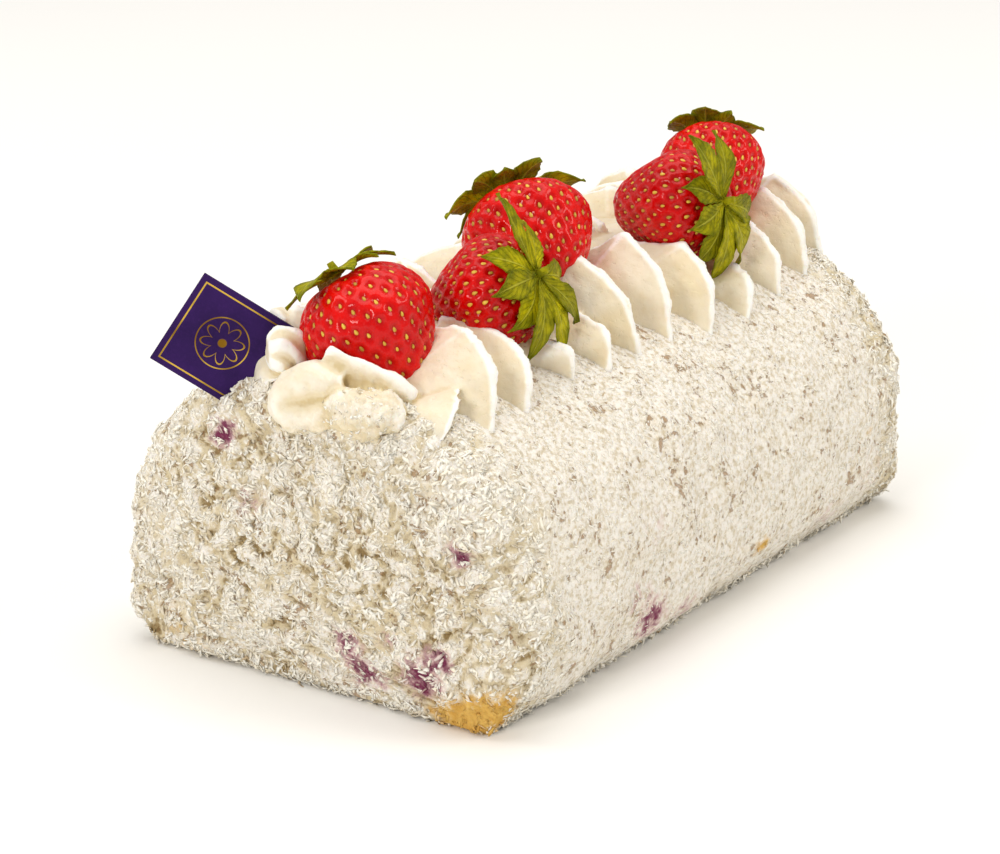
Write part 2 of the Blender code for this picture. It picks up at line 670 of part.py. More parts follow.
def shred_mesh(place, normal, rng):
    """One shred of coconut: a short bent strip that stands out of the coating."""
    bm = bmesh.new()
    bmesh.ops.create_cube(bm, size=1.0)
    middle = [edge for edge in bm.edges if abs(edge.verts[0].co.x - edge.verts[1].co.x) > 0.5]
    bmesh.ops.subdivide_edges(bm, edges=middle, cuts=1)
    length = SHRED_LENGTH * rng.uniform(0.75, 1.25)
    width = SHRED_WIDTH * rng.uniform(0.8, 1.2)
    bend = rng.uniform(0.0004, 0.0011)
    for vert in bm.verts:
        taper = 1.0 if abs(vert.co.x) < 0.1 else 0.6
        rise = bend if abs(vert.co.x) < 0.1 else 0.0
        vert.co = Vector((vert.co.x * length, vert.co.y * width * taper, vert.co.z * width * 0.7 + rise))
    heading = Matrix.Rotation(rng.uniform(0, math.tau), 4, "Z")
    tilt = Matrix.Rotation(rng.uniform(-0.1, 0.32), 4, "Y")
    frame = normal.to_track_quat("Z", "Y").to_matrix().to_4x4()
    lift = Matrix.Translation(place + normal * (0.1 * length))
    bmesh.ops.transform(bm, matrix=lift @ frame @ heading @ tilt, verts=bm.verts)
    return bm


def tree_of(obj):
    bm = bmesh.new()
    bm.from_mesh(obj.data)
    tree = BVHTree.FromBMesh(bm)
    bm.free()
    return tree


def shred_places(keep_off, rng):
    """Evenly spread places on the coating: each is the one of several draws farthest from the rest."""
    surface = roll_mesh()
    faces = sorted(surface.faces, key=lambda face: tuple(face.calc_center_median()))
    weights = [face.calc_area() for face in faces]
    chosen = []
    while len(chosen) < SHREDS:
        draws = []
        for face in rng.choices(faces, weights=weights, k=SHRED_DRAWS):
            corners = sorted((vert.co for vert in face.verts), key=tuple)
            a, b = sorted((rng.random(), rng.random()))
            place = corners[0] * a + corners[1] * (b - a) + corners[2] * (1 - b)
            near = min(tree.find_nearest(place)[3] for tree in keep_off)
            if place.z > SHRED_CLEARANCE and near > SHRED_REACH:
                apart = min(((place - other).length for other, _ in chosen), default=1.0)
                draws.append((apart, place, face.normal.copy()))
        if draws:
            apart, place, normal = max(draws, key=lambda draw: draw[0])
            chosen.append((place, normal))
    surface.free()
    return chosen


def make_roll(mat, cream, card):
    bm = roll_mesh()
    flat_underside(bm)
    roll = object_from("roll", bm, mat)
    keep_off = [tree_of(cream), tree_of(card)]
    rng = random.Random(COATING_SEED)
    shreds = [object_from("shred", shred_mesh(place, normal, rng))
              for place, normal in shred_places(keep_off, rng)]
    cutters = [object_from("slot", card_mesh(GAP))]
    cutters += [object_from("hollow", berry_mesh(i, GAP)) for i in range(len(BERRIES))]
    cutters += [calyx_body(i, LEAF_GAP) for i in range(len(BERRIES))]
    combine(roll, cutters, "DIFFERENCE", "MANIFOLD")
    keep_largest(roll)
    combine(roll, shreds, "UNION", "MANIFOLD")
    keep_largest(roll)
    return roll


def make_berries(mat):
    for index in range(len(BERRIES)):
        berry = object_from("berry_%d" % (index + 1), berry_mesh(index), mat)
        berry.data.shade_smooth()


def calyx_body(index, grow=0.0, mat=None):
    """The calyx's sheet made solid, or the same body grown on all sides."""
    body = object_from("calyx_%d" % (index + 1), calyx_sheet(index, grow), mat)
    thick = body.modifiers.new("thick", "SOLIDIFY")
    thick.thickness = SEPAL_THICK + 2 * grow
    thick.offset = 2 * grow / thick.thickness - 1.0
    settle(body)
    body.data.transform(berry_place(index))
    return body


def make_calyxes(mat):
    for index in range(len(BERRIES)):
        calyx = calyx_body(index, mat=mat)
        stalk = bmesh.new()
        bmesh.ops.create_cone(stalk, cap_ends=True, segments=STALK_SIDES, radius1=STALK_FOOT,
                              radius2=STALK_RADIUS, depth=STALK_LENGTH)
        foot = Matrix.Translation((0, 0, hub_height(index) + (STALK_LENGTH - SEPAL_THICK) / 2))
        bmesh.ops.transform(stalk, matrix=berry_place(index) @ foot, verts=stalk.verts)
        combine(calyx, [object_from("stalk", stalk)], "UNION")
        keep_largest(calyx)


def build():
    clear_scene()
    coconut = finish_material("coconut", (0.80, 0.75, 0.66), 0.9)
    white_cream = finish_material("cream", (0.84, 0.77, 0.64), 0.45)
    red = finish_material("berry_red", (0.62, 0.010, 0.008), 0.3)
    green = finish_material("leaf_green", (0.20, 0.25, 0.02), 0.55)
    violet = finish_material("card_violet", (0.046, 0.012, 0.117), 0.5)
    card = object_from("card", card_mesh(), violet)
    cream = make_cream(white_cream)
    make_roll(coconut, cream, card)
    make_berries(red)
    make_calyxes(green)


build()
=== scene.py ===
import math
import random

import bmesh
import bpy
import numpy as np
from mathutils import Matrix, Vector, noise
from mathutils.bvhtree import BVHTree
from mathutils.kdtree import KDTree


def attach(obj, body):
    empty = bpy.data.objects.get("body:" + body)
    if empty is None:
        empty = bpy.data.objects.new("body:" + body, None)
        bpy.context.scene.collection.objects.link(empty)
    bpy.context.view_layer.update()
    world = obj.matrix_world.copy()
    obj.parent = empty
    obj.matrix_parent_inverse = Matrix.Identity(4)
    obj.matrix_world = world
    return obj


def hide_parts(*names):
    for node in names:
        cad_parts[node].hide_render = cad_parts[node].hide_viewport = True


# Metres, +Z up. The roll lies along X, its front is the -Y side, and the card stands at the -X end.
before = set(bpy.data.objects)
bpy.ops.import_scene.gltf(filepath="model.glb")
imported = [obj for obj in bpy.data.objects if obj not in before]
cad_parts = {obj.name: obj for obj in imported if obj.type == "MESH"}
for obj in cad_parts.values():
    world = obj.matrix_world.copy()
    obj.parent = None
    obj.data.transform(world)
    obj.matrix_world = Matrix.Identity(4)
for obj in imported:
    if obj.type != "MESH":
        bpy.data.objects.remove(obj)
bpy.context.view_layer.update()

# Roll
ROLL_LENGTH = 0.2034
ROLL_HEIGHT = 0.0810
FRONT_HALF = 0.0625
BACK_HALF = 0.0655
WAIST = 0.030
UPPER_POWER = 2.15
LOWER_POWER = 3.0
LOWER_DROP = 0.0385
END_ROUND = 0.013
END_ROUND_LOW = 0.004
END_DOME = 0.0022
CENTRE = Vector((0.0015, 0.036))
FINE_STEPS = 80
OVER_STEPS = 352
UNDER_STEPS = 20
NEAR_CAP_STEPS = 116
FAR_CAP_STEPS = 58
ROUND_STEPS = 12
SIDE_STEPS = 56

# Relief of the coating
CLUMP_SIZE = 0.0105
CLUMP_DEPTH = 0.0015
SWELL_SIZE = 0.034
SWELL_DEPTH = 0.0012
COVERED_FROM = 0.066
COVERED_TO = 0.073
EVEN_TO = 0.006
SWELL_SHIFT = Vector((3.1, 0.4, 7.7))
TUFT_SIZE = 0.0066
TUFT_SHIFT = Vector((5.3, 1.7, 2.9))
CURL_SIZE = 0.0045
CURL_REACH = 0.0016
SHRED_SIZE = 0.0030
TUFT_DEPTH_END = 0.0016
TUFT_DEPTH_SIDE = 0.0002
PATCH_SIZE = 0.015
COARSE_FROM = 0.074
COARSE_TO = 0.096

# Card
CARD_SIDE = 0.0265
CARD_MIDDLE = Vector((-0.0974, 0.0309, 0.0861))
CARD_HEADING = math.radians(34.2)
CARD_TURN = math.radians(33.0)

# Cream
BED_HALF = Vector((0.093, 0.0275, 0.0130))
BED_MIDDLE = Vector((-0.001, 0.000, 0.0735))
BED_POWER = 0.62
FLUTE_DEPTH = 0.62
FLUTE_LEAN = 0.35
FLUTE_STEPS = 8
FLUTE_BELLY = 0.0038
FLUTE_SUNK = 0.0005
FLUTE_FOOT = 0.28
FLUTE_SWEEP = 0.15
FLUTE_TOP = 0.86
FLUTE_END_Y = 0.0060
FLUTE_END_Z = 0.0885
HEART_Y = 0.0060
HEART_Z = 0.0720
FLUTE_SECTION = ((-0.07, 0.0), (0.10, 0.0), (0.24, 0.30), (0.42, 1.0), (-0.74, 1.0), (-0.40, 0.50))
CREAM_GRAIN = 0.00078
CREAM_SEED = 12
RIM_SPREAD = 3
RIPPLE_SIZE = 0.0062
RIPPLE_DEPTH = 0.00035
CRUMPLE_SIZE = 0.0085
CRUMPLE_DEPTH = 0.0013
RAGGED_SIZE = 0.0030
RAGGED_DEPTH = 0.0020
GROOVE_SIZE = 0.0015
GROOVE_LENGTH = 0.011
GROOVE_DEPTH = 0.00022
NOTCH_SIZE = 0.0042
NOTCH_DEPTH = 0.0007
CRUMPLED_TO = -0.092
LEVEL_FROM = -0.082
RIM_HEIGHT = 0.00022
FRONT_FLUTES = (
    (-0.0965, -0.0350, -0.0780, -0.0270, 0.0820, 0.0085),
    (-0.0800, -0.0400, -0.0680, -0.0235, 0.0925, 0.0150),
    (-0.0640, -0.0395, -0.0560, -0.0260, 0.0880, 0.0130),
    (-0.0390, -0.0370, -0.0400, -0.0280, 0.0820, 0.0100),
    (-0.0250, -0.0390, -0.0205, -0.0270, 0.0835, 0.0110),
    (-0.0090, -0.0390, -0.0130, -0.0205, 0.0975, 0.0150),
    (0.0060, -0.0390, 0.0090, -0.0215, 0.0985, 0.0130),
    (0.0220, -0.0420, 0.0280, -0.0285, 0.0915, 0.0145),
    (0.0400, -0.0430, 0.0490, -0.0290, 0.0825, 0.0140),
    (0.0600, -0.0415, 0.0670, -0.0250, 0.0890, 0.0130),
    (0.0790, -0.0395, 0.0830, -0.0220, 0.0940, 0.0160),
    (0.0950, -0.0350, 0.0955, -0.0180, 0.0945, 0.0150),
)
BACK_STROKES = (-0.074, -0.038, -0.001, 0.037, 0.074)
BACK_FLUTE_STEP = 0.0122
BACK_FOOT = 0.0385
BACK_CREST = 0.0215
BACK_CREST_HEIGHT = 0.0945
BACK_GATHER = 0.45
BACK_WIDTH = 0.0150
BACK_DROP = 0.002
END_FLUTES = (
    (0.0985, -0.0170, 0.0880, -0.0080, 0.0930, 0.0140),
    (0.0995, -0.0010, 0.0880, 0.0010, 0.0930, 0.0140),
    (0.0975, 0.0160, 0.0870, 0.0090, 0.0930, 0.0140),
)
# Cream ropes at the near end: the points they follow, radius, number and depth of flutes, thickness as a
# share of the width, and how much thicker they get towards the last point
ROPES = (
    (((-0.0985, -0.0083, 0.0827), (-0.1005, -0.0022, 0.0831), (-0.1012, 0.0054, 0.0793),
      (-0.1015, 0.0063, 0.0756), (-0.1015, 0.0007, 0.0743), (-0.1005, -0.0072, 0.0771)),
     0.0054, 0, 0.0, 1.0, 0.0),
    (((-0.0900, 0.0120, 0.0851), (-0.0940, 0.0136, 0.0865), (-0.0975, 0.0163, 0.0864)),
     0.0058, 5, 0.18, 1.0, 0.0),
    (((-0.0982, -0.0028, 0.0902), (-0.0966, -0.0091, 0.0870), (-0.0925, -0.0153, 0.0827),
      (-0.0885, -0.0203, 0.0784)), 0.0048, 0, 0.0, 0.55, 0.28),
    (((-0.1000, -0.0078, 0.0775), (-0.1006, -0.0130, 0.0772), (-0.0994, -0.0190, 0.0774),
      (-0.0960, -0.0240, 0.0772)), 0.0066, 3, 0.07, 0.9, -0.10),
    (((-0.0750, 0.0270, 0.0795), (-0.0800, 0.0250, 0.0840), (-0.0840, 0.0190, 0.0865)),
     0.0066, 5, 0.16, 1.0, 0.0),
)
ROPE_SIDES = 30
ROPE_STEPS = 8
ROPE_END = 0.35
ROPE_TWIST = 2.0
ROPE_GUIDE = Vector((1.0, 0.0, 0.25))

# Berries
BERRIES = (
    ((-0.0780, -0.0004, 0.0910), (-0.05, 0.58, 0.81), 0.0186, 0.0150, 0.0198),
    ((-0.0420, -0.0150, 0.0935), (0.13, -0.88, 0.46), 0.0157, 0.0120, 0.0195),
    ((-0.0100, -0.0030, 0.0985), (0.48, 0.75, 0.45), 0.0176, 0.0130, 0.0190),
    ((0.0415, -0.0200, 0.0980), (0.03, -0.95, 0.20), 0.0158, 0.0122, 0.0205),
    ((0.0745, -0.0090, 0.0980), (0.71, 0.54, 0.43), 0.0160, 0.0120, 0.0190),
)
BERRY_SIDES = 240
BERRY_RINGS = 124
BERRY_DIMPLE = 0.0016
DIMPLE_WIDTH = 0.35
BERRY_OVAL = 0.035
BERRY_SQUARE = 0.86
BERRY_TAPER = 0.16
SEEDS = 240
GOLDEN_TURN = math.pi * (3.0 - math.sqrt(5.0))
PIT_DEPTH = 0.00090
PIT_WIDTH = 0.00105
PIT_STRETCH = 1.35
SEED_LONG = 0.00074
SEED_WIDE = 0.00048
SEED_THICK = 0.00026

# Leaves
HUB_RADIUS = 0.0030
HUB_RISE = 0.35
SEPAL_THICK = 0.0007
SEPAL_WIDTH = 0.0084
SEPAL_FOLD = 0.0007
SEPAL_TWIST = 0.0008
SEPAL_ROOM = math.radians(60)
SEPAL_GAP = 0.00015
GAP = 0.0003
STRAIGHT_FROM = 0.3
STRAIGHT_RISE = 0.1
CALYX_SEED = 7
LEAF_ALONG = 16
LEAF_ACROSS = 10
LEAF_SHEET = 0.00038
SEPALS = (
    ((5, 15, 0.40), (52, 11, 0.02), (97, 9, 0.02), (138, 12, 0.05), (180, 12, 0.45), (232, 13, 0.05),
     (295, 11, 0.24)),
    ((98, 20, 0.90), (52, 13, 0.20), (138, 13, 0.06), (178, 13, 0.04), (215, 14, 0.04), (245, 17, 0.24),
     (280, 17, 0.42), (312, 15, 0.52), (346, 14, 0.20)),
    ((8, 17, 0.22), (335, 13, 0.10), (42, 14, 0.20), (70, 12, 0.16), (105, 13, 0.20), (150, 16, 0.18),
     (240, 13, 0.10)),
    ((119, 19, 0.80), (74, 13, 0.45), (152, 12, 0.04), (198, 11, 0.04), (236, 15, 0.16), (266, 18, 0.30),
     (298, 17, 0.42), (336, 14, 0.30)),
    ((50, 15, 0.14), (84, 13, 0.16), (114, 11, 0.12), (146, 15, 0.12), (205, 13, 0.06), (262, 10, 0.22),
     (322, 13, 0.06)),
)

# Places with their middle, radius and strength: cream that is rough with coconut, berry juice soaked into the
# coconut, places where the painted crease shade is left out, and sponge that shows
ROUGH = (
    ((-0.1010, -0.0110, 0.0765), 0.0070, 1.0),
    ((-0.0995, -0.0195, 0.0770), 0.0070, 1.0),
    ((-0.1010, 0.0010, 0.0695), 0.0055, 0.8),
    ((-0.1000, 0.0090, 0.0700), 0.0055, 0.8),
)
STAINS = (
    ((-0.1024, -0.0160, 0.0100), 0.0055, 1.0),
    ((-0.1036, -0.0338, 0.0121), 0.0060, 1.0),
    ((-0.1036, -0.0108, 0.0173), 0.0040, 0.8),
    ((-0.1043, -0.0238, 0.0207), 0.0030, 0.5),
    ((-0.1030, -0.0395, 0.0187), 0.0040, 0.7),
    ((-0.1014, 0.0293, 0.0630), 0.0040, 0.8),
    ((-0.1012, 0.0261, 0.0649), 0.0030, 0.6),
    ((-0.1035, 0.0185, 0.0484), 0.0055, 0.45),
    ((-0.1019, -0.0448, 0.0473), 0.0035, 0.8),
    ((-0.0381, -0.0600, 0.0115), 0.0070, 0.7),
    ((-0.0462, -0.0619, 0.0203), 0.0060, 0.35),
    ((-0.0200, -0.0610, 0.0060), 0.0070, 0.6),
    ((-0.0380, -0.0625, 0.0380), 0.0090, 0.22),
    ((0.0560, -0.0620, 0.0080), 0.0120, 0.25),
    ((0.0800, -0.0620, 0.0180), 0.0100, 0.22),
)
# places where the painted crease shade is left out and the coconut stays white
UNSHADED = (
    ((-0.1000, -0.0450, 0.0600), 0.0170, 0.85),
    ((-0.1000, -0.0180, 0.0680), 0.0110, 0.60),
    ((-0.1000, 0.0560, 0.0450), 0.0170, 0.60),
    ((-0.1000, 0.0450, 0.0200), 0.0120, 0.45),
)
SPONGE = (
    ((-0.1016, -0.0474, 0.0040), 0.0060, 1.0),
    ((-0.1013, -0.0560, 0.0075), 0.0060, 1.0),
    ((-0.1005, -0.0400, 0.0030), 0.0050, 0.8),
    ((-0.1021, 0.0375, 0.0050), 0.0090, 0.25),
    ((-0.1022, 0.0473, 0.0084), 0.0080, 0.2),
    ((0.0160, -0.0615, 0.0149), 0.0030, 0.9),
    ((0.0750, -0.0640, 0.0300), 0.0020, 0.9),
)

# Camera, as the photograph was taken
LOOK_AT = Vector((-0.0147, 0.0028, 0.0450))
HEADING = math.radians(-55.77)
ELEVATION = math.radians(19.54)
DISTANCE = 0.8731
LENS = 116.04
SENSOR = 36.0


def smoothstep(low, high, value):
    share = min(1.0, max(0.0, (value - low) / (high - low)))
    return share * share * (3.0 - 2.0 * share)


def colour(red, green, blue):
    """A colour as it looks on a screen, 0 to 255, made linear."""
    parts = []
    for value in (red, green, blue):
        value /= 255.0
        parts.append(value / 12.92 if value <= 0.04045 else ((value + 0.055) / 1.055) ** 2.4)
    return (*parts, 1.0)


def object_from(name, bm, mat=None, smooth=True):
    """An object of this mesh, which is used up."""
    mesh = bpy.data.meshes.new(name)
    bm.to_mesh(mesh)
    bm.free()
    obj = bpy.data.objects.new(name, mesh)
    bpy.context.scene.collection.objects.link(obj)
    if mat:
        mesh.materials.append(mat)
    if smooth:
        mesh.shade_smooth()
    return obj


def settle(obj):
    """Turn the object's modifiers into its mesh."""
    graph = bpy.context.evaluated_depsgraph_get()
    mesh = bpy.data.meshes.new_from_object(obj.evaluated_get(graph))
    obj.modifiers.clear()
    obj.data = mesh


def write_attribute(mesh, name, values):
    layer = mesh.attributes.new(name, "FLOAT", "POINT")
    layer.data.foreach_set("value", np.asarray(values, np.float32))


def arrays_of(bm):
    """A triangle mesh's corners and faces as arrays. The mesh is used up."""
    bm.verts.index_update()
    corners = np.array([vert.co for vert in bm.verts])
    faces = np.array([[vert.index for vert in face.verts] for face in bm.faces])
    bm.free()
    return corners, faces


def many(name, points, faces, mat):
    """One object of many equal small shapes: points has each shape's corners, faces its triangles."""
    count, corners = points.shape[:2]
    index = faces[None, :, :] + (np.arange(count) * corners)[:, None, None]
    mesh = bpy.data.meshes.new(name)
    mesh.vertices.add(count * corners)
    mesh.vertices.foreach_set("co", points.astype(np.float32).ravel())
    mesh.loops.add(index.size)
    mesh.loops.foreach_set("vertex_index", index.astype(np.int32).ravel())
    mesh.polygons.add(count * len(faces))
    mesh.polygons.foreach_set("loop_start", np.arange(0, index.size, 3, dtype=np.int32))
    mesh.update(calc_edges=True)
    mesh.validate()
    mesh.materials.append(mat)
    obj = bpy.data.objects.new(name, mesh)
    bpy.context.scene.collection.objects.link(obj)
    return obj


def corners_of(mesh):
    places = np.zeros(len(mesh.vertices) * 3)
    mesh.vertices.foreach_get("co", places)
    return places.reshape(-1, 3)


# ------------------------------------------------------------------ finishes

class Term:
    """A number that varies over a surface. Arithmetic on it adds Math nodes to its finish."""

    def __init__(self, finish, socket):
        self.finish = finish
        self.socket = socket

    def __add__(self, other):
        return self.finish.math("ADD", self, other)

    __radd__ = __add__

    def __sub__(self, other):
        return self.finish.math("SUBTRACT", self, other)

    def __rsub__(self, other):
        return self.finish.math("SUBTRACT", other, self)

    def __mul__(self, other):
        return self.finish.math("MULTIPLY", self, other)

    __rmul__ = __mul__

    def __truediv__(self, other):
        return self.finish.math("DIVIDE", self, other)

    def __pow__(self, other):
        return self.finish.math("POWER", self, other)


class Finish:
    """A material built on one Principled shader."""

    def __init__(self, name, **constants):
        self.mat = bpy.data.materials.new(name)
        self.mat.use_nodes = True
        self.tree = self.mat.node_tree
        self.shader = self.tree.nodes["Principled BSDF"]
        self.fill(self.shader, {key.replace("_", " "): value for key, value in constants.items()})
        self.place = self.node("TexCoord").outputs["Object"]

    def fill(self, node, values):
        for name, value in values.items():
            socket = node.inputs[name]
            if isinstance(value, Term):
                self.tree.links.new(value.socket, socket)
            elif isinstance(value, bpy.types.NodeSocket):
                self.tree.links.new(value, socket)
            else:
                socket.default_value = value

    def node(self, kind, settings=None, values=None):
        node = self.tree.nodes.new("ShaderNode" + kind)
        for name, value in (settings or {}).items():
            setattr(node, name, value)
        self.fill(node, values or {})
        return node

    def math(self, operation, *terms):
        return Term(self, self.node("Math", {"operation": operation}, dict(enumerate(terms))).outputs[0])

    def noise(self, size, detail=2.0, rough=0.5, seed=0.0, vector=None):
        """Noise about 0.5 with lumps of about this many metres."""
        values = {"Vector": vector or self.place, "W": seed, "Scale": 1.0 / size, "Detail": detail,
                  "Roughness": rough}
        return Term(self, self.node("TexNoise", {"noise_dimensions": "4D"}, values).outputs[0])

    def ease(self, term, low, high):
        """0 below low, 1 above high, smooth between."""
        values = {"Value": term, "From Min": low, "From Max": high}
        return Term(self, self.node("MapRange", {"interpolation_type": "SMOOTHSTEP"}, values).outputs[0])

    def mix(self, share, below, above, blend="MIX"):
        settings = {"data_type": "RGBA", "blend_type": blend}
        return self.node("Mix", settings, {0: share, 6: below, 7: above}).outputs[2]

    def attribute(self, name):
        return Term(self, self.node("Attribute", {"attribute_name": name}).outputs["Fac"])

    def along(self, centre, direction):
        """Distance from the centre along a direction, in metres."""
        away = self.node("VectorMath", {"operation": "SUBTRACT"}, {0: self.place, 1: centre})
        values = {0: away.outputs[0], 1: direction}
        return Term(self, self.node("VectorMath", {"operation": "DOT_PRODUCT"}, values).outputs["Value"])

    def bump(self, height, distance, strength=1.0):
        values = {"Height": height, "Distance": distance, "Strength": strength}
        self.fill(self.shader, {"Normal": self.node("Bump", None, values).outputs[0]})

    def paint(self, **values):
        self.fill(self.shader, {key.replace("_", " "): value for key, value in values.items()})


def juice_and_sponge(finish, base, ragged=0.0):
    """The base colour with berry juice soaked into it and golden sponge showing through."""
    stain = finish.attribute("stain")
    stain = stain + ragged * finish.ease(stain, 0.0, 0.4)
    sponge = finish.attribute("sponge")
    sponge = sponge + ragged * finish.ease(sponge, 0.0, 0.4)
    pink = finish.mix(finish.ease(stain, 0.3, 1.0), colour(218, 186, 182), colour(122, 54, 82))
    base = finish.mix(finish.ease(stain, 0.1, 0.7), base, pink)
    gold = finish.mix(finish.noise(0.003, 3.0), colour(240, 206, 120), colour(196, 138, 44))
    return finish.mix(finish.ease(sponge, 0.1, 0.8), base, gold)


def coating_finish():
    """The matted coconut and cream: nearly white, with painted shade that makes its creases olive beige, and
    fine brown specks painted as the shade of small gaps.
    """
    f = Finish("coating", Roughness=0.85, Specular_IOR_Level=0.15, Subsurface_Weight=0.3,
               Subsurface_Scale=0.0015, Subsurface_Radius=(1.0, 0.9, 0.7))
    hollow = f.attribute("hollow")
    grain = f.noise(0.0014, 3.0, 0.6)
    patch = f.noise(0.010, 3.0, 0.55, 3.0)
    # brown specks: small pits painted darker, as the shade of the gaps between flakes together with the cake
    # that shows in them
    specks = f.ease(f.noise(0.0021, 3.0, 0.65, 7.0) + (patch - 0.5) * 0.55, 0.600, 0.680)
    base = f.mix(f.ease(grain, 0.3, 0.6), colour(206, 192, 164), colour(246, 241, 232))
    base = f.mix(f.ease(patch, 0.45, 0.8) * 0.3, base, colour(222, 204, 168))
    edge = f.noise(0.0030, 3.0, 0.65, 11.0)
    # painted shade: the deeper a place lies in a crease, the more beige and then olive brown it is painted
    base = f.mix(f.ease(hollow, 0.0, 0.4) * 0.75, base, colour(218, 202, 164))
    base = f.mix(f.ease(hollow + (grain - 0.5) * 1.2, 0.35, 0.95) * 0.9, base, colour(142, 116, 68))
    base = f.mix(specks * 0.75, base, colour(162, 126, 88))
    f.paint(Base_Color=juice_and_sponge(f, base, (edge - 0.5) * 2.2))
    curls = f.noise(0.0016, 4.0, 0.6, 0.0, f.node("VectorMath", {"operation": "MULTIPLY_ADD"}, {
        0: f.node("TexNoise", None, {"Vector": f.place, "Scale": 400.0}).outputs["Color"],
        1: (0.0016, 0.0016, 0.0016), 2: f.place}).outputs[0])
    f.bump(curls - specks * 0.6, 0.0012, 0.8)
    return f.mat


def coconut_finish():
    """Loose shreds of coconut, each a little different, with painted shade making them beige where they lie
    deep, and a few painted brown as the shade between flakes.
    """
    f = Finish("coconut", Roughness=0.7, Specular_IOR_Level=0.15)
    tone = f.attribute("tone")
    hollow = f.attribute("hollow")
    patch = f.noise(0.010, 2.0, 0.5, 3.0)
    base = f.mix(tone * 0.6 * tone, colour(255, 252, 242), colour(252, 240, 212))
    # painted shade on shreds that lie deep in a crease
    base = f.mix(hollow * 0.9, base, colour(178, 152, 98))
    # a few shreds painted brown as the shade of the gaps between flakes
    base = f.mix(f.ease(tone + (patch - 0.5) * 0.4, 0.96, 0.99) * 0.7, base, colour(180, 148, 100))
    f.paint(Base_Color=juice_and_sponge(f, base))
    return f.mat


def cream_finish():
    """Whipped cream: soft, matte to satin, warm in its thickness, with painted highlights on its rims and
    painted shade in its grooves.
    """
    f = Finish("whipped_cream", Roughness=0.42, Subsurface_Weight=0.2, Subsurface_Scale=0.003,
               Subsurface_Radius=(1.0, 0.75, 0.45), Specular_IOR_Level=0.4)
    broad = f.noise(0.014, 3.0, 0.55)
    fine = f.noise(0.0022, 4.0, 0.6, 2.0)
    base = f.mix(f.ease(broad, 0.35, 0.7), colour(238, 228, 205), colour(230, 214, 178))
    base = f.mix(f.ease(fine, 0.45, 0.8) * 0.4, base, colour(224, 208, 170))
    rim = f.attribute("rim")
    # painted highlight on the rims and painted shade in the grooves
    base = f.mix(f.ease(rim, 0.1, 0.8), base, colour(253, 250, 242))
    base = f.mix(f.ease(rim * -1.0, 0.1, 0.9) * 0.7, base, colour(212, 188, 132))
    rough = f.attribute("rough")
    base = f.mix(rough * f.ease(fine, 0.42, 0.55) * 0.6, base, colour(214, 194, 150))
    f.paint(Base_Color=base, Roughness=f.ease(fine, 0.2, 0.8) * 0.2 + 0.36)
    pores = f.ease(f.noise(0.0009, 2.0, 0.5, 5.0), 0.25, 0.42)
    f.bump(fine * 0.6 + pores * 0.25 + rough * fine * 2.0, 0.0008, 0.6)
    return f.mat


def berry_finish():
    """Ripe strawberry: glossy red, with painted shade darkening its pits, paler round the calyx."""
    f = Finish("berry_red", Roughness=0.3, Specular_IOR_Level=0.06, Subsurface_Weight=0.08,
               Subsurface_Scale=0.002, Subsurface_Radius=(1.0, 0.08, 0.04), Coat_Roughness=0.05)
    pit = f.attribute("pit")
    neck = f.attribute("neck")
    ripe = f.attribute("ripe")
    broad = f.noise(0.011, 3.0, 0.5)
    fine = f.noise(0.0007, 3.0, 0.6, 1.0)
    fresh = f.mix(f.ease(broad, 0.35, 0.7), colour(236, 14, 4), colour(212, 2, 4))
    deep = f.mix(f.ease(broad, 0.35, 0.7), colour(208, 3, 8), colour(184, 1, 6))
    base = f.mix(ripe, fresh, deep)
    base = f.mix(neck * 0.3, base, colour(228, 60, 30))
    # painted shade in the pits round the seeds
    base = f.mix(pit * 0.6, base, colour(132, 2, 5))
    base = f.mix(f.ease(fine, 0.55, 0.8) * 0.15, base, colour(230, 40, 28))
    f.paint(Base_Color=base, Roughness=f.ease(fine, 0.3, 0.8) * 0.22 + 0.2, Coat_Weight=0.4)
    f.bump(fine * 0.4 + f.noise(0.0018, 3.0, 0.5, 4.0), 0.0006, 0.9)
    return f.mat


def seed_finish():
    f = Finish("seed_gold", Roughness=0.4, Specular_IOR_Level=0.5)
    tone = f.attribute("tone")
    base = f.mix(tone, colour(238, 200, 70), colour(186, 142, 40))
    base = f.mix(f.ease(f.noise(0.0004, 2.0), 0.5, 0.8) * 0.4, base, colour(120, 72, 20))
    f.paint(Base_Color=base)
    return f.mat


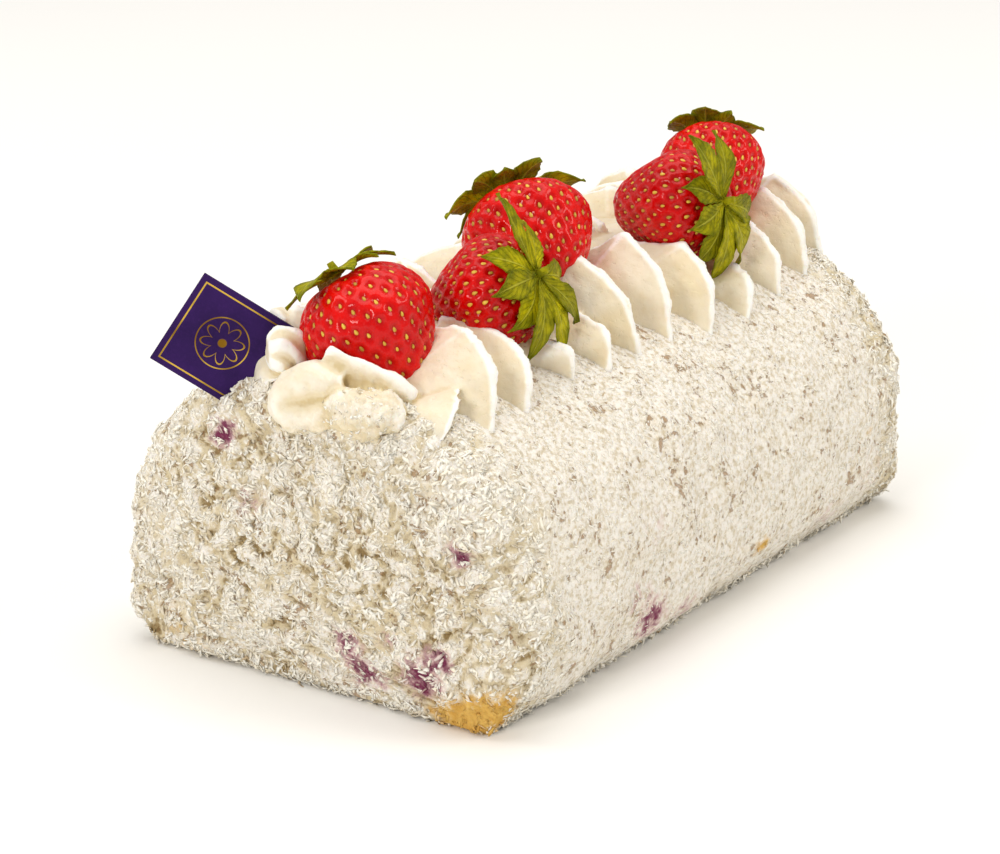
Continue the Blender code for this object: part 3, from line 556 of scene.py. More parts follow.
def leaf_finish():
    """Strawberry leaves: yellow green with a pale rib, fine veins, darker, drier places, and painted shade that
    darkens each sepal by its own amount.
    """
    f = Finish("leaf_green", Roughness=0.5, Specular_IOR_Level=0.08, Subsurface_Weight=0.1,
               Subsurface_Scale=0.001, Subsurface_Radius=(0.5, 1.0, 0.2))
    along = f.attribute("along")
    across = f.attribute("across")
    shade = f.attribute("shade")
    side = f.math("ABSOLUTE", across)
    rib = 1.0 - f.ease(side, 0.03, 0.13)
    broad = f.noise(0.0035, 3.0, 0.55)
    fine = f.noise(0.0008, 3.0, 0.6, 2.0)
    wave = f.math("SINE", (along - side * 0.34 + broad * 0.08) * 44.0)
    vein = f.ease(wave, 0.5, 1.0) * (1.0 - rib)
    base = f.mix(f.ease(broad, 0.3, 0.7), colour(204, 192, 10), colour(124, 122, 2))
    base = f.mix(f.ease(along, 0.5, 1.0) * 0.4, base, colour(108, 124, 18))
    # painted shade: each sepal, the hub and the stalk darker by their own amount
    base = f.mix(shade, base, colour(84, 88, 14))
    base = f.mix(f.ease(side, 0.6, 1.0) * 0.45, base, colour(90, 98, 10))
    base = f.mix(vein * 0.15, base, colour(100, 108, 14))
    base = f.mix(rib * 0.5, base, colour(196, 192, 70))
    base = f.mix(f.ease(fine, 0.6, 0.75) * 0.5, base, colour(88, 72, 16))
    f.paint(Base_Color=base, Roughness=f.ease(fine, 0.2, 0.8) * 0.25 + 0.38)
    f.bump(vein * -0.6 + rib * 0.8 + fine * 0.6 + broad, 0.0005, 0.9)
    return f.mat


def card_finish():
    """Violet card with a thin gold frame and a plain gold rosette."""
    f = Finish("card_violet", Roughness=0.5, Specular_IOR_Level=0.12)
    turn = Matrix.Rotation(CARD_HEADING, 3, "Z") @ Matrix.Rotation(CARD_TURN, 3, "X")
    right = f.along(CARD_MIDDLE, turn @ Vector((0, 1, 0)))
    up = f.along(CARD_MIDDLE, turn @ Vector((0, 0, 1)))
    out = f.math("SQRT", right * right + up * up)
    heading = f.math("ARCTAN2", up, right)
    edge = f.math("MAXIMUM", f.math("ABSOLUTE", right), f.math("ABSOLUTE", up))

    def line(value, middle, half):
        return 1.0 - f.ease(f.math("ABSOLUTE", value - middle), half * 0.7, half * 1.3)

    petals = f.math("ABSOLUTE", f.math("SINE", heading * 4.0))
    flower = line(out - petals * 0.0026, 0.0030, 0.00022)
    ring = line(out, 0.0068, 0.00016)
    frame_line = line(edge, CARD_SIDE / 2 - 0.0017, 0.00020)
    hub = 1.0 - f.ease(out, 0.0010, 0.0013)
    gold = f.math("MINIMUM", flower + ring + frame_line + hub, 1.0)
    paper = f.noise(0.0009, 4.0, 0.6)
    broad = f.noise(0.012, 2.0, 0.5, 4.0)
    violet = f.mix(f.ease(broad, 0.35, 0.7), colour(50, 22, 86), colour(38, 14, 70))
    violet = f.mix(f.ease(paper, 0.45, 0.75) * 0.3, violet, colour(64, 32, 100))
    foil = f.mix(f.ease(broad, 0.4, 0.6), colour(214, 176, 70), colour(128, 92, 22))
    f.paint(Base_Color=f.mix(gold, violet, foil), Metallic=gold * 0.85,
            Roughness=0.52 - gold * 0.2 + f.ease(paper, 0.3, 0.8) * 0.08)
    f.bump(paper, 0.0001, 0.4)
    return f.mat


def floor_finish():
    f = Finish("floor", Roughness=0.9, Specular_IOR_Level=0.1)
    cloud = f.noise(0.6, 2.0)
    f.paint(Base_Color=f.mix(cloud, colour(250, 249, 247), colour(247, 246, 243)))
    return f.mat


# ------------------------------------------------------------------ the roll's core

def spread(points, count):
    """The same line as count + 1 evenly spaced points."""
    lengths = [0.0]
    for a, b in zip(points, points[1:]):
        lengths.append(lengths[-1] + (b - a).length)
    result = []
    step = 0
    for i in range(count + 1):
        goal = lengths[-1] * i / count
        while step < len(lengths) - 2 and lengths[step + 1] < goal:
            step += 1
        share = (goal - lengths[step]) / (lengths[step + 1] - lengths[step])
        result.append(points[step].lerp(points[step + 1], share))
    return result


def roll_outline():
    """The roll's section as (Y, Z) points: over the top from front to back, then along the underside."""
    half = []
    low_turn = math.asin((WAIST / LOWER_DROP) ** (LOWER_POWER / 2))
    for i in range(FINE_STEPS, 0, -1):
        turn = low_turn * i / FINE_STEPS
        drop = LOWER_DROP * math.sin(turn) ** (2 / LOWER_POWER)
        half.append((math.cos(turn) ** (2 / LOWER_POWER), WAIST - drop))
    rise = ROLL_HEIGHT - WAIST
    for i in range(FINE_STEPS + 1):
        turn = math.pi / 2 * i / FINE_STEPS
        height = WAIST + rise * math.sin(turn) ** (2 / UPPER_POWER)
        half.append((max(0.0, math.cos(turn)) ** (2 / UPPER_POWER), height))
    half[0] = (half[0][0], 0.0)
    front = [Vector((-FRONT_HALF * y, z)) for y, z in half]
    back = [Vector((BACK_HALF * y, z)) for y, z in reversed(half[:-1])]
    over = spread(front + back, OVER_STEPS)
    under = [over[-1].lerp(over[0], i / UNDER_STEPS) for i in range(1, UNDER_STEPS)]
    return over + under


def roll_top(x, y):
    """Height of the roll's smooth surface at this place."""
    half = FRONT_HALF if y < 0 else BACK_HALF
    share = max(0.0, 1.0 - abs(y / half) ** UPPER_POWER)
    inset = max(0.0, abs(x) - (ROLL_LENGTH / 2 - END_ROUND))
    drop = END_ROUND - math.sqrt(max(0.0, END_ROUND ** 2 - inset ** 2))
    return WAIST + (ROLL_HEIGHT - WAIST) * share ** (1 / UPPER_POWER) - drop


def roll_stations():
    """Along the roll from pole to pole: X, the end it belongs to, turn of its rounding, size of its cap."""
    half = ROLL_LENGTH / 2
    rim = [(-half, -1, math.pi / 2 * i / ROUND_STEPS, 1.0) for i in range(ROUND_STEPS + 1)]
    near = [(-half, -1, 0.0, i / NEAR_CAP_STEPS) for i in range(NEAR_CAP_STEPS)] + rim
    straight = half - END_ROUND
    side = [(straight * (2 * i / SIDE_STEPS - 1), 0, math.pi / 2, 1.0) for i in range(1, SIDE_STEPS)]
    far = [(-half, -1, 0.0, i / FAR_CAP_STEPS) for i in range(FAR_CAP_STEPS)] + rim
    far = [(-x, -end, turn, cap) for x, end, turn, cap in reversed(far)]
    return near + side + far


def roll_place(station, spot):
    x, end, turn, cap = station
    rounding = END_ROUND_LOW + (END_ROUND - END_ROUND_LOW) * smoothstep(0.0, WAIST, spot.y)
    x -= end * rounding * (1.0 - math.cos(turn))
    x += end * END_DOME * (1.0 - cap * cap)
    inwards = CENTRE - spot
    place = spot + inwards * (rounding * (1.0 - math.sin(turn)) / inwards.length)
    place = CENTRE.lerp(place, cap)
    return Vector((x, place.x, place.y))


def tufts(place):
    """Rounded clumps of curly shreds with creases between them, from about -1 in a crease to 1."""
    place = place + noise.noise_vector(place / CURL_SIZE) * CURL_REACH
    clump = 2.4 * abs(noise.noise(place / TUFT_SIZE + TUFT_SHIFT)) - 0.55
    curls = noise.ridged_multi_fractal(place / SHRED_SIZE, 0.8, 2.2, 3, 1.0, 2.0) - 1.0
    return 0.75 * clump + 0.45 * curls


def coarse_at(x):
    return smoothstep(COARSE_FROM, COARSE_TO, abs(x))


def relief(place):
    """Height of the coating's lumps and tufts over the smooth roll."""
    lumps = noise.noise(place / CLUMP_SIZE) * CLUMP_DEPTH
    swell = noise.noise(place / SWELL_SIZE + SWELL_SHIFT) * SWELL_DEPTH
    depth = TUFT_DEPTH_SIDE + (TUFT_DEPTH_END - TUFT_DEPTH_SIDE) * coarse_at(place.x)
    bare = smoothstep(0.0, EVEN_TO, place.z) * (1.0 - smoothstep(COVERED_FROM, COVERED_TO, place.z))
    return (lumps + swell) * bare + tufts(place) * depth * smoothstep(0.0, EVEN_TO, place.z)


def hollows(places):
    """How deep in a crease of the end faces each place lies, 0 to 1: the strength of the painted crease shade,
    left out in the places listed as unshaded.
    """
    depths = []
    for place, unshaded in zip(places, patches(places, UNSHADED)):
        place = Vector(place)
        crease = 1.0 - smoothstep(-0.60, 0.25, tufts(place))
        strong = 0.65 + 0.35 * smoothstep(-0.35, 0.35, noise.noise(place / PATCH_SIZE))
        depths.append(coarse_at(place.x) * crease * strong * (1.0 - unshaded))
    return depths


def roll_mesh():
    """The roll as a globe whose poles lie in the middle of its end faces, wrapped round its outline."""
    outline = roll_outline()
    stations = roll_stations()
    around = len(outline)
    bm = bmesh.new()
    bmesh.ops.create_uvsphere(bm, u_segments=around, v_segments=len(stations) - 1, radius=1.0)
    for vert in bm.verts:
        ring = round(math.acos(max(-1.0, min(1.0, vert.co.z))) / math.pi * (len(stations) - 1))
        spot = round(math.atan2(vert.co.y, vert.co.x) / math.tau * around) % around
        vert.co = roll_place(stations[ring], outline[spot])
    if bm.calc_volume(signed=True) < 0:
        bmesh.ops.reverse_faces(bm, faces=bm.faces)
    bm.normal_update()
    moves = [(vert, vert.normal * relief(vert.co)) for vert in bm.verts]
    for vert, move in moves:
        vert.co += move
        vert.co.z = max(0.0, vert.co.z)
    return bm


def patches(places, spots):
    """How strongly the spots show at each place, 0 to 1."""
    total = np.zeros(len(places))
    for middle, radius, strength in spots:
        away = np.linalg.norm(places - np.array(middle), axis=1)
        total += strength * np.exp(-(away / radius) ** 2)
    return np.minimum(total, 1.0)


def make_coating(mat):
    coating = object_from("coating", roll_mesh(), mat)
    places = corners_of(coating.data)
    write_attribute(coating.data, "stain", patches(places, STAINS))
    write_attribute(coating.data, "sponge", patches(places, SPONGE))
    # strength of the painted crease shade, read by the coating finish
    write_attribute(coating.data, "hollow", hollows(places))
    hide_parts("roll")
    return coating


# ------------------------------------------------------------------ piped cream

def curve_through(points, steps):
    """A smooth line through the points, with this many steps from each point to the next."""
    knots = [Vector(p) for p in points]
    knots = [2 * knots[0] - knots[1]] + knots + [2 * knots[-1] - knots[-2]]
    line = []
    for a, b, c, d in zip(knots, knots[1:], knots[2:], knots[3:]):
        for i in range(steps):
            t = i / steps
            line.append(0.5 * (2 * b + (c - a) * t + (2 * a - 5 * b + 4 * c - d) * t * t
                               + (3 * b - a - 3 * c + d) * t ** 3))
    return line + [knots[-2]]


def skin(bm, rings):
    """A closed body over a row of rings with equally many corners, added to the mesh."""
    rings = [[bm.verts.new(place) for place in ring] for ring in rings]
    fresh = []
    for ring, following in zip(rings, rings[1:]):
        for k in range(len(ring)):
            fresh.append(bm.faces.new((ring[k - 1], ring[k], following[k], following[k - 1])))
    fresh.append(bm.faces.new(list(reversed(rings[0]))))
    fresh.append(bm.faces.new(rings[-1]))
    heart = sum((vert.co for ring in rings for vert in ring), Vector()) / (len(rings) * len(rings[0]))
    side = sum((face.calc_center_median() - heart).dot(normal_of(face)) * face.calc_area() for face in fresh)
    if side < 0:
        bmesh.ops.reverse_faces(bm, faces=fresh)


def normal_of(face):
    face.normal_update()
    return face.normal


def rope_rings(points, radius, flutes, depth, flat, growth):
    """A piped rope: a round or fluted ring carried along a smooth line, with tapered ends."""
    line = curve_through(points, ROPE_STEPS)
    rings = []
    for i, place in enumerate(line):
        ahead = (line[min(i + 1, len(line) - 1)] - line[max(i - 1, 0)]).normalized()
        across = (ROPE_GUIDE - ahead * ROPE_GUIDE.dot(ahead)).normalized()
        over = across.cross(ahead)
        share = i / (len(line) - 1)
        taper = ROPE_END + (1.0 - ROPE_END) * math.sin(math.pi * (0.06 + 0.88 * share)) ** 0.45
        taper *= 1.0 + growth * (2 * share - 1)
        ring = []
        for k in range(ROPE_SIDES):
            turn = math.tau * k / ROPE_SIDES
            size = radius * taper * (1.0 + depth * math.cos(flutes * turn + ROPE_TWIST * share))
            ring.append(place + across * (size * flat * math.cos(turn)) + over * (size * math.sin(turn)))
        rings.append(ring)
    return rings


def flute_rings(flute):
    """One flute of a piped stroke: a wedge whose rim arches over a heart inside the cream."""
    foot_x, foot_y, crest_x, crest_y, crest_z, width = flute
    foot = Vector((foot_x, foot_y, roll_top(foot_x, foot_y) - FLUTE_SUNK))
    crest = Vector((crest_x, crest_y, crest_z))
    belly = foot.lerp(crest, 0.48) + Vector((0.0, math.copysign(FLUTE_BELLY, foot_y), FLUTE_BELLY))
    end_x = crest_x + FLUTE_SWEEP * (crest_x - foot_x)
    end = Vector((end_x, math.copysign(FLUTE_END_Y, crest_y), FLUTE_END_Z))
    rim = curve_through((foot, belly, crest), FLUTE_STEPS)
    rim += [crest.lerp(end, (i + 1) / FLUTE_STEPS) for i in range(FLUTE_STEPS)]
    heart = Vector(((foot_x + crest_x) / 2, math.copysign(HEART_Y, foot_y), HEART_Z))
    rings = []
    for i, place in enumerate(rim):
        share = i / (len(rim) - 1)
        swell = math.sin(math.pi * min(FLUTE_TOP, 0.08 + 1.05 * share)) ** 0.8
        size = width * (FLUTE_FOOT + (1.0 - FLUTE_FOOT) * swell)
        ring = []
        for across, inwards in FLUTE_SECTION:
            spot = place.lerp(heart, inwards * FLUTE_DEPTH)
            ring.append(spot + Vector((across * size - FLUTE_LEAN * inwards * width, 0.0, 0.0)))
        rings.append(ring)
    return rings


def back_flutes():
    rng = random.Random(CREAM_SEED)
    flutes = []
    for stroke in BACK_STROKES:
        for k in (-1, 0, 1):
            foot_x = stroke + k * BACK_FLUTE_STEP + rng.uniform(-0.001, 0.001)
            crest_x = stroke + k * BACK_FLUTE_STEP * BACK_GATHER
            foot_y = BACK_FOOT + rng.uniform(-0.0025, 0.0025)
            crest_z = BACK_CREST_HEIGHT + rng.uniform(-0.004, 0.003) - abs(k) * BACK_DROP
            width = BACK_WIDTH * rng.uniform(0.9, 1.1)
            flutes.append((foot_x, foot_y, crest_x, BACK_CREST, crest_z, width))
    return flutes


def edge_ends(mesh):
    ends = np.zeros(len(mesh.edges) * 2, np.int32)
    mesh.edges.foreach_get("vertices", ends)
    return ends.reshape(-1, 2).T


def rims(mesh):
    """How much each corner stands out of its surroundings, positive on rims and negative in creases."""
    start, end = edge_ends(mesh)
    places = corners_of(mesh)
    normals = np.zeros(places.size)
    mesh.vertex_normals.foreach_get("vector", normals)
    normals = normals.reshape(-1, 3)
    counts = np.maximum(np.bincount(start, minlength=len(places)) + np.bincount(end, minlength=len(places)), 1)
    around = places.copy()
    for _ in range(RIM_SPREAD):
        total = np.zeros_like(around)
        np.add.at(total, start, around[end])
        np.add.at(total, end, around[start])
        around = total / counts[:, None]
    return np.sum((places - around) * normals, axis=1) / RIM_HEIGHT


def make_cream(mat):
    bm = bmesh.new()
    bmesh.ops.create_uvsphere(bm, u_segments=64, v_segments=32, radius=1.0)
    for vert in bm.verts:
        for axis in range(3):
            size = abs(vert.co[axis]) ** BED_POWER
            vert.co[axis] = BED_MIDDLE[axis] + math.copysign(size * BED_HALF[axis], vert.co[axis])
    for flute in list(FRONT_FLUTES) + back_flutes() + list(END_FLUTES):
        skin(bm, flute_rings(flute))
    for rope in ROPES:
        skin(bm, rope_rings(*rope))
    cream = object_from("whipped_cream", bm, mat)
    remesh = cream.modifiers.new("run_together", "REMESH")
    remesh.mode = "VOXEL"
    remesh.voxel_size = CREAM_GRAIN
    smooth = cream.modifiers.new("smooth", "SMOOTH")
    smooth.factor = 0.5
    smooth.iterations = 1
    settle(cream)
    standing_out = rims(cream.data)
    rough = patches(corners_of(cream.data), ROUGH)
    bm = bmesh.new()
    bm.from_mesh(cream.data)
    bm.normal_update()
    moves = []
    for vert, out, ragged in zip(bm.verts, standing_out, rough):
        loose = max(1.0 - smoothstep(CRUMPLED_TO, LEVEL_FROM, vert.co.x), smoothstep(0.75, 1.0, vert.normal.z))
        ripple = noise.fractal(vert.co / RIPPLE_SIZE, 1.0, 2.0, 3) * RIPPLE_DEPTH
        ripple += noise.noise(vert.co / CRUMPLE_SIZE) * loose * CRUMPLE_DEPTH
        x, y, z = vert.co
        ripple += noise.noise((x / GROOVE_SIZE, y / GROOVE_LENGTH, z / GROOVE_LENGTH)) * GROOVE_DEPTH
        ripple += noise.noise(vert.co / NOTCH_SIZE) * smoothstep(0.0, 0.8, out) * NOTCH_DEPTH
        ripple += noise.fractal(vert.co / RAGGED_SIZE, 0.7, 2.1, 3) * ragged * RAGGED_DEPTH
        moves.append(vert.normal * ripple)
    for vert, move in zip(bm.verts, moves):
        vert.co += move
    bm.to_mesh(cream.data)
    bm.free()
    cream.data.shade_smooth()
    # how far each corner stands out, which sets the painted rim highlights and groove shade of the cream finish
    write_attribute(cream.data, "rim", standing_out)
    write_attribute(cream.data, "rough", rough)
    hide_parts("piped_cream")
    return cream


# ------------------------------------------------------------------ berries

def facing(direction):
    """A frame whose Z points along the direction and whose Y leans up."""
    return Vector(direction).to_track_quat("Z", "Y").to_matrix().to_4x4()


def berry_place(index):
    middle, direction = BERRIES[index][:2]
    return Matrix.Translation(middle) @ facing(direction)


def berry_ring(index, turn):
    """Radius and height of the berry's skin, from the calyx at 0 to the tip at pi."""
    radius, top, tip = BERRIES[index][2:]
    out = radius * math.sin(turn) ** BERRY_SQUARE
    reach = top if turn < math.pi / 2 else tip
    height = reach * math.cos(turn)
    if turn > math.pi / 2:
        out *= 1.0 - BERRY_TAPER * math.sin(2 * turn - math.pi)
    else:
        height -= BERRY_DIMPLE * math.exp(-(out / (DIMPLE_WIDTH * radius)) ** 2)
    return out, height


def berry_oval(index, heading):
    return 1.0 + BERRY_OVAL * math.sin(2 * heading + index) + 0.4 * BERRY_OVAL * math.sin(3 * heading)


def berry_spot(index, turn, heading):
    out, height = berry_ring(index, max(0.0, turn))
    out *= berry_oval(index, heading)
    return Vector((out * math.cos(heading), out * math.sin(heading), height))


def seed_spots(index):
    """Each seed's place, outward direction and direction towards the tip, spread evenly by area in a spiral."""
    rng = random.Random(100 + index)
    turns = [math.pi * i / 400 for i in range(401)]
    rings = [berry_ring(index, turn) for turn in turns]
    areas = [0.0]
    for (out_a, height_a), (out_b, height_b) in zip(rings, rings[1:]):
        areas.append(areas[-1] + (out_a + out_b) * math.hypot(out_b - out_a, height_b - height_a))
    spots = []
    step = 0
    for i in range(SEEDS):
        goal = areas[-1] * (0.012 + 0.985 * (i + 0.5) / SEEDS)
        while areas[step + 1] < goal:
            step += 1
        share = (goal - areas[step]) / (areas[step + 1] - areas[step])
        turn = turns[step] + (turns[1] - turns[0]) * share
        out = max(0.002, berry_ring(index, turn)[0])
        heading = (i * GOLDEN_TURN + rng.uniform(-1, 1) * 0.00045 / out) % math.tau
        turn += rng.uniform(-1, 1) * 0.025
        place = berry_spot(index, turn, heading)
        down = (berry_spot(index, turn + 0.01, heading) - place).normalized()
        side = (berry_spot(index, turn, heading + 0.01) - place).normalized()
        spots.append((place, side.cross(-down).normalized(), down))
    return spots


def make_berry(index, mat):
    """A berry whose skin dips round every seed and swells between them."""
    spots = seed_spots(index)
    tree = KDTree(len(spots))
    for i, (place, _, _) in enumerate(spots):
        tree.insert(place, i)
    tree.balance()
    bm = bmesh.new()
    bmesh.ops.create_uvsphere(bm, u_segments=BERRY_SIDES, v_segments=BERRY_RINGS, radius=1.0)
    pit_layer = bm.verts.layers.float.new("pit")
    neck_layer = bm.verts.layers.float.new("neck")
    for vert in bm.verts:
        turn = math.acos(max(-1.0, min(1.0, vert.co.z)))
        vert[neck_layer] = 1.0 - smoothstep(0.15, 0.75, turn)
        vert.co = berry_spot(index, turn, math.atan2(vert.co.y, vert.co.x))
    if bm.calc_volume(signed=True) < 0:
        bmesh.ops.reverse_faces(bm, faces=bm.faces)
    bm.normal_update()
    moves = []
    for vert in bm.verts:
        _, i, _ = tree.find(vert.co)
        place, out, down = spots[i]
        away = vert.co - place
        length = away.dot(down) / PIT_STRETCH
        width = away.dot(out.cross(down))
        pit = math.exp(-(length * length + width * width) / PIT_WIDTH ** 2)
        swell = noise.fractal(vert.co / 0.006 + Vector((index * 3.7, 0, 0)), 1.0, 2.0, 2) * 0.00022
        # the pit also sets the painted shade of the berry finish
        vert[pit_layer] = pit
        moves.append(vert.normal * (swell - PIT_DEPTH * pit))
    for vert, move in zip(bm.verts, moves):
        vert.co += move
    bmesh.ops.transform(bm, matrix=berry_place(index), verts=bm.verts)
    berry = object_from("strawberry_%d" % (index + 1), bm, mat)
    write_attribute(berry.data, "ripe", [RIPENESS[index]] * len(berry.data.vertices))
    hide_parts("berry_%d" % (index + 1))
    return berry


RIPENESS = (0.35, 0.55, 0.15, 0.85, 0.2)


def make_seeds(mat):
    """All the seeds: small drops, pointed towards the calyx, sunk in their pits."""
    rng = np.random.default_rng(51)
    bm = bmesh.new()
    bmesh.ops.create_uvsphere(bm, u_segments=7, v_segments=5, radius=1.0)
    bmesh.ops.triangulate(bm, faces=bm.faces)
    corners, faces = arrays_of(bm)
    spots = [(berry_place(index), spot) for index in range(len(BERRIES)) for spot in seed_spots(index)]
    places = np.array([placed @ (place - out * PIT_DEPTH * 0.8) for placed, (place, out, down) in spots])
    outs = np.array([placed.to_3x3() @ out for placed, (place, out, down) in spots])
    downs = np.array([placed.to_3x3() @ down for placed, (place, out, down) in spots])
    sides = np.cross(outs, downs)
    sizes = rng.uniform(0.85, 1.15, len(spots))[:, None, None]
    taper = 1.0 + 0.35 * corners[:, 2]
    points = places[:, None, :] + sizes * (
        (corners[:, 0] * taper * SEED_WIDE)[None, :, None] * sides[:, None, :]
        + (corners[:, 1] * SEED_THICK)[None, :, None] * outs[:, None, :]
        + (corners[:, 2] * SEED_LONG)[None, :, None] * downs[:, None, :])
    seeds = many("seeds", points, faces, mat)
    seeds.data.shade_smooth()
    write_attribute(seeds.data, "tone", np.repeat(rng.random(len(spots)), len(corners)))
    return seeds


# ------------------------------------------------------------------ leaves

def berry_skin(index, heading):
    rings = [berry_ring(index, math.pi * i / FINE_STEPS) for i in range(FINE_STEPS + 1)]
    oval = berry_oval(index, heading)
    return [Vector((out * oval, height)) for out, height in rings]


def along(line, length):
    """The place and the direction at this length along a line."""
    for a, b in zip(line, line[1:]):
        step = (b - a).length
        if length <= step:
            return a.lerp(b, length / step), (b - a).normalized()
        length -= step
    return line[-1], (line[-1] - line[-2]).normalized()


def hub_height(index):
    return berry_ring(index, 0.0)[1] + BERRY_DIMPLE * HUB_RISE + 2 * GAP + SEPAL_THICK


def spine_at(index, outline, length, flare, share):
    """A point of a sepal's middle line. Flare 0 follows the berry's skin, and 1 stands straight out."""
    place, ahead = along(outline, HUB_RADIUS + length * share)
    outwards = Vector((-ahead.y, ahead.x))
    clear = 2.5 * GAP + SEPAL_THICK + flare * length * share ** 1.6
    straight = Vector((HUB_RADIUS + length * share, hub_height(index) + STRAIGHT_RISE * length * share))
    spot = (place + outwards * clear).lerp(straight, smoothstep(STRAIGHT_FROM, 1.0, flare))
    root = Vector((HUB_RADIUS * 0.3, hub_height(index)))
    return root.lerp(spot, smoothstep(-0.08, 0.14, share))


def room_beside(headings, number):
    """Half the turn from this sepal to the nearer of its two neighbours."""
    before = headings[number] - headings[number - 1]
    after = headings[(number + 1) % len(headings)] - headings[number]
    return min(before % math.tau, after % math.tau, 2 * SEPAL_ROOM) / 2


def make_leaves(index, mat):
    """A berry's sepals as wavy sheets with a fold along the rib, over a small hub with its stalk."""
    rng = random.Random(CALYX_SEED + index)
    sepals = sorted(SEPALS[index])
    headings = [math.radians(sepal[0]) for sepal in sepals]
    bm = bmesh.new()
    along_layer = bm.verts.layers.float.new("along")
    across_layer = bm.verts.layers.float.new("across")
    shade_layer = bm.verts.layers.float.new("shade")
    for number, (_, millimetres, flare) in enumerate(sepals):
        heading = headings[number]
        outline = berry_skin(index, heading)
        length = millimetres / 1000
        room = room_beside(headings, number)
        width = SEPAL_WIDTH * rng.uniform(0.85, 1.15)
        twist = rng.uniform(-SEPAL_TWIST, SEPAL_TWIST)
        wave = rng.uniform(0, math.tau)
        sway = rng.uniform(-0.0008, 0.0008)
        # how much painted shade this sepal gets
        shade = rng.uniform(0.0, 0.5)
        side = Vector((-math.sin(heading), math.cos(heading), 0))
        radial = Vector((math.cos(heading), math.sin(heading), 0))
        grid = bmesh.ops.create_grid(bm, x_segments=LEAF_ACROSS, y_segments=LEAF_ALONG, size=1.0)
        for vert in grid["verts"]:
            across = vert.co.x
            share = (vert.co.y + 1) / 2
            spot = spine_at(index, outline, length, flare, share)
            half = width / 2 * min(1.0, 0.30 + 1.5 * share) * (1.0 - smoothstep(0.55, 1.02, share)) ** 0.8
            half = min(half, 1.5 * spot.x * math.tan(room) - SEPAL_GAP)
            half *= 1.0 + 0.07 * math.sin(share * 38 + wave + across * 2)
            lift = abs(across) ** 1.4 * SEPAL_FOLD + across * twist * share
            lift += 0.0006 * share * abs(across) * math.sin(share * 9 + wave + math.copysign(0.9, across))
            drift = sway * math.sin(share * 3.0)
            lift += (number % 2) * 0.0004
            vert.co = radial * spot.x + side * (across * half + drift) + Vector((0, 0, spot.y + lift))
            vert[along_layer] = share
            vert[across_layer] = across
            vert[shade_layer] = shade
    bmesh.ops.recalc_face_normals(bm, faces=bm.faces)
    leaves = object_from("leaves_%d" % (index + 1), bm, mat)
    thick = leaves.modifiers.new("thick", "SOLIDIFY")
    thick.thickness = LEAF_SHEET
    thick.offset = 0.0
    settle(leaves)
    bm = bmesh.new()
    bm.from_mesh(leaves.data)
    shade_layer = bm.verts.layers.float["shade"]
    across_layer = bm.verts.layers.float["across"]
    hub = bmesh.ops.create_uvsphere(bm, u_segments=20, v_segments=8, radius=1.0)
    for vert in hub["verts"]:
        ragged = 1.0 + 0.18 * math.sin(math.atan2(vert.co.y, vert.co.x) * 7)
        vert.co = Vector((vert.co.x * 0.0024 * ragged, vert.co.y * 0.0024 * ragged,
                          hub_height(index) + vert.co.z * 0.0007))
        vert[shade_layer] = 0.2
        vert[across_layer] = 0.5
    stalk = bmesh.ops.create_cone(bm, cap_ends=True, segments=12, radius1=0.0013, radius2=0.0009,
                                  depth=0.0034)
    for vert in stalk["verts"]:
        bend = vert.co.z + 0.0017
        vert.co += Vector((bend * 0.25, bend * 0.1, hub_height(index) + 0.0016))
        vert[shade_layer] = 0.35
        vert[across_layer] = 0.5
    bm.to_mesh(leaves.data)
    bm.free()
    leaves.data.transform(berry_place(index))
    leaves.data.shade_smooth()
    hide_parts("calyx_%d" % (index + 1))
    return leaves


# ------------------------------------------------------------------ loose coconut

def strip(cuts):
    """A three-sided strip of length, width and thickness 1 along X, as its corners and triangles."""
    bm = bmesh.new()
    bmesh.ops.create_cone(bm, cap_ends=True, segments=3, radius1=0.5, radius2=0.5, depth=1.0)
    if cuts:
        sides = [edge for edge in bm.edges if abs(edge.verts[0].co.z - edge.verts[1].co.z) > 0.5]
        bmesh.ops.subdivide_edges(bm, edges=sides, cuts=cuts)
    bmesh.ops.rotate(bm, cent=(0, 0, 0), matrix=Matrix.Rotation(math.pi / 2, 3, "Y"), verts=bm.verts)
    bmesh.ops.triangulate(bm, faces=bm.faces)
    return arrays_of(bm)


def unit(vectors):
    return vectors / np.linalg.norm(vectors, axis=1)[:, None]


def ground_of(obj):
    """An object's triangles as arrays: corners and outward directions."""
    mesh = obj.data
    mesh.calc_loop_triangles()
    index = np.zeros(len(mesh.loop_triangles) * 3, np.int32)
    mesh.loop_triangles.foreach_get("vertices", index)
    triangles = corners_of(mesh)[index.reshape(-1, 3)]
    triangles = triangles[np.lexsort(np.round(triangles.sum(axis=1), 9).T)]
    across = np.cross(triangles[:, 1] - triangles[:, 0], triangles[:, 2] - triangles[:, 0])
    areas = np.linalg.norm(across, axis=1) / 2
    return triangles, across / np.maximum(2 * areas, 1e-15)[:, None], areas


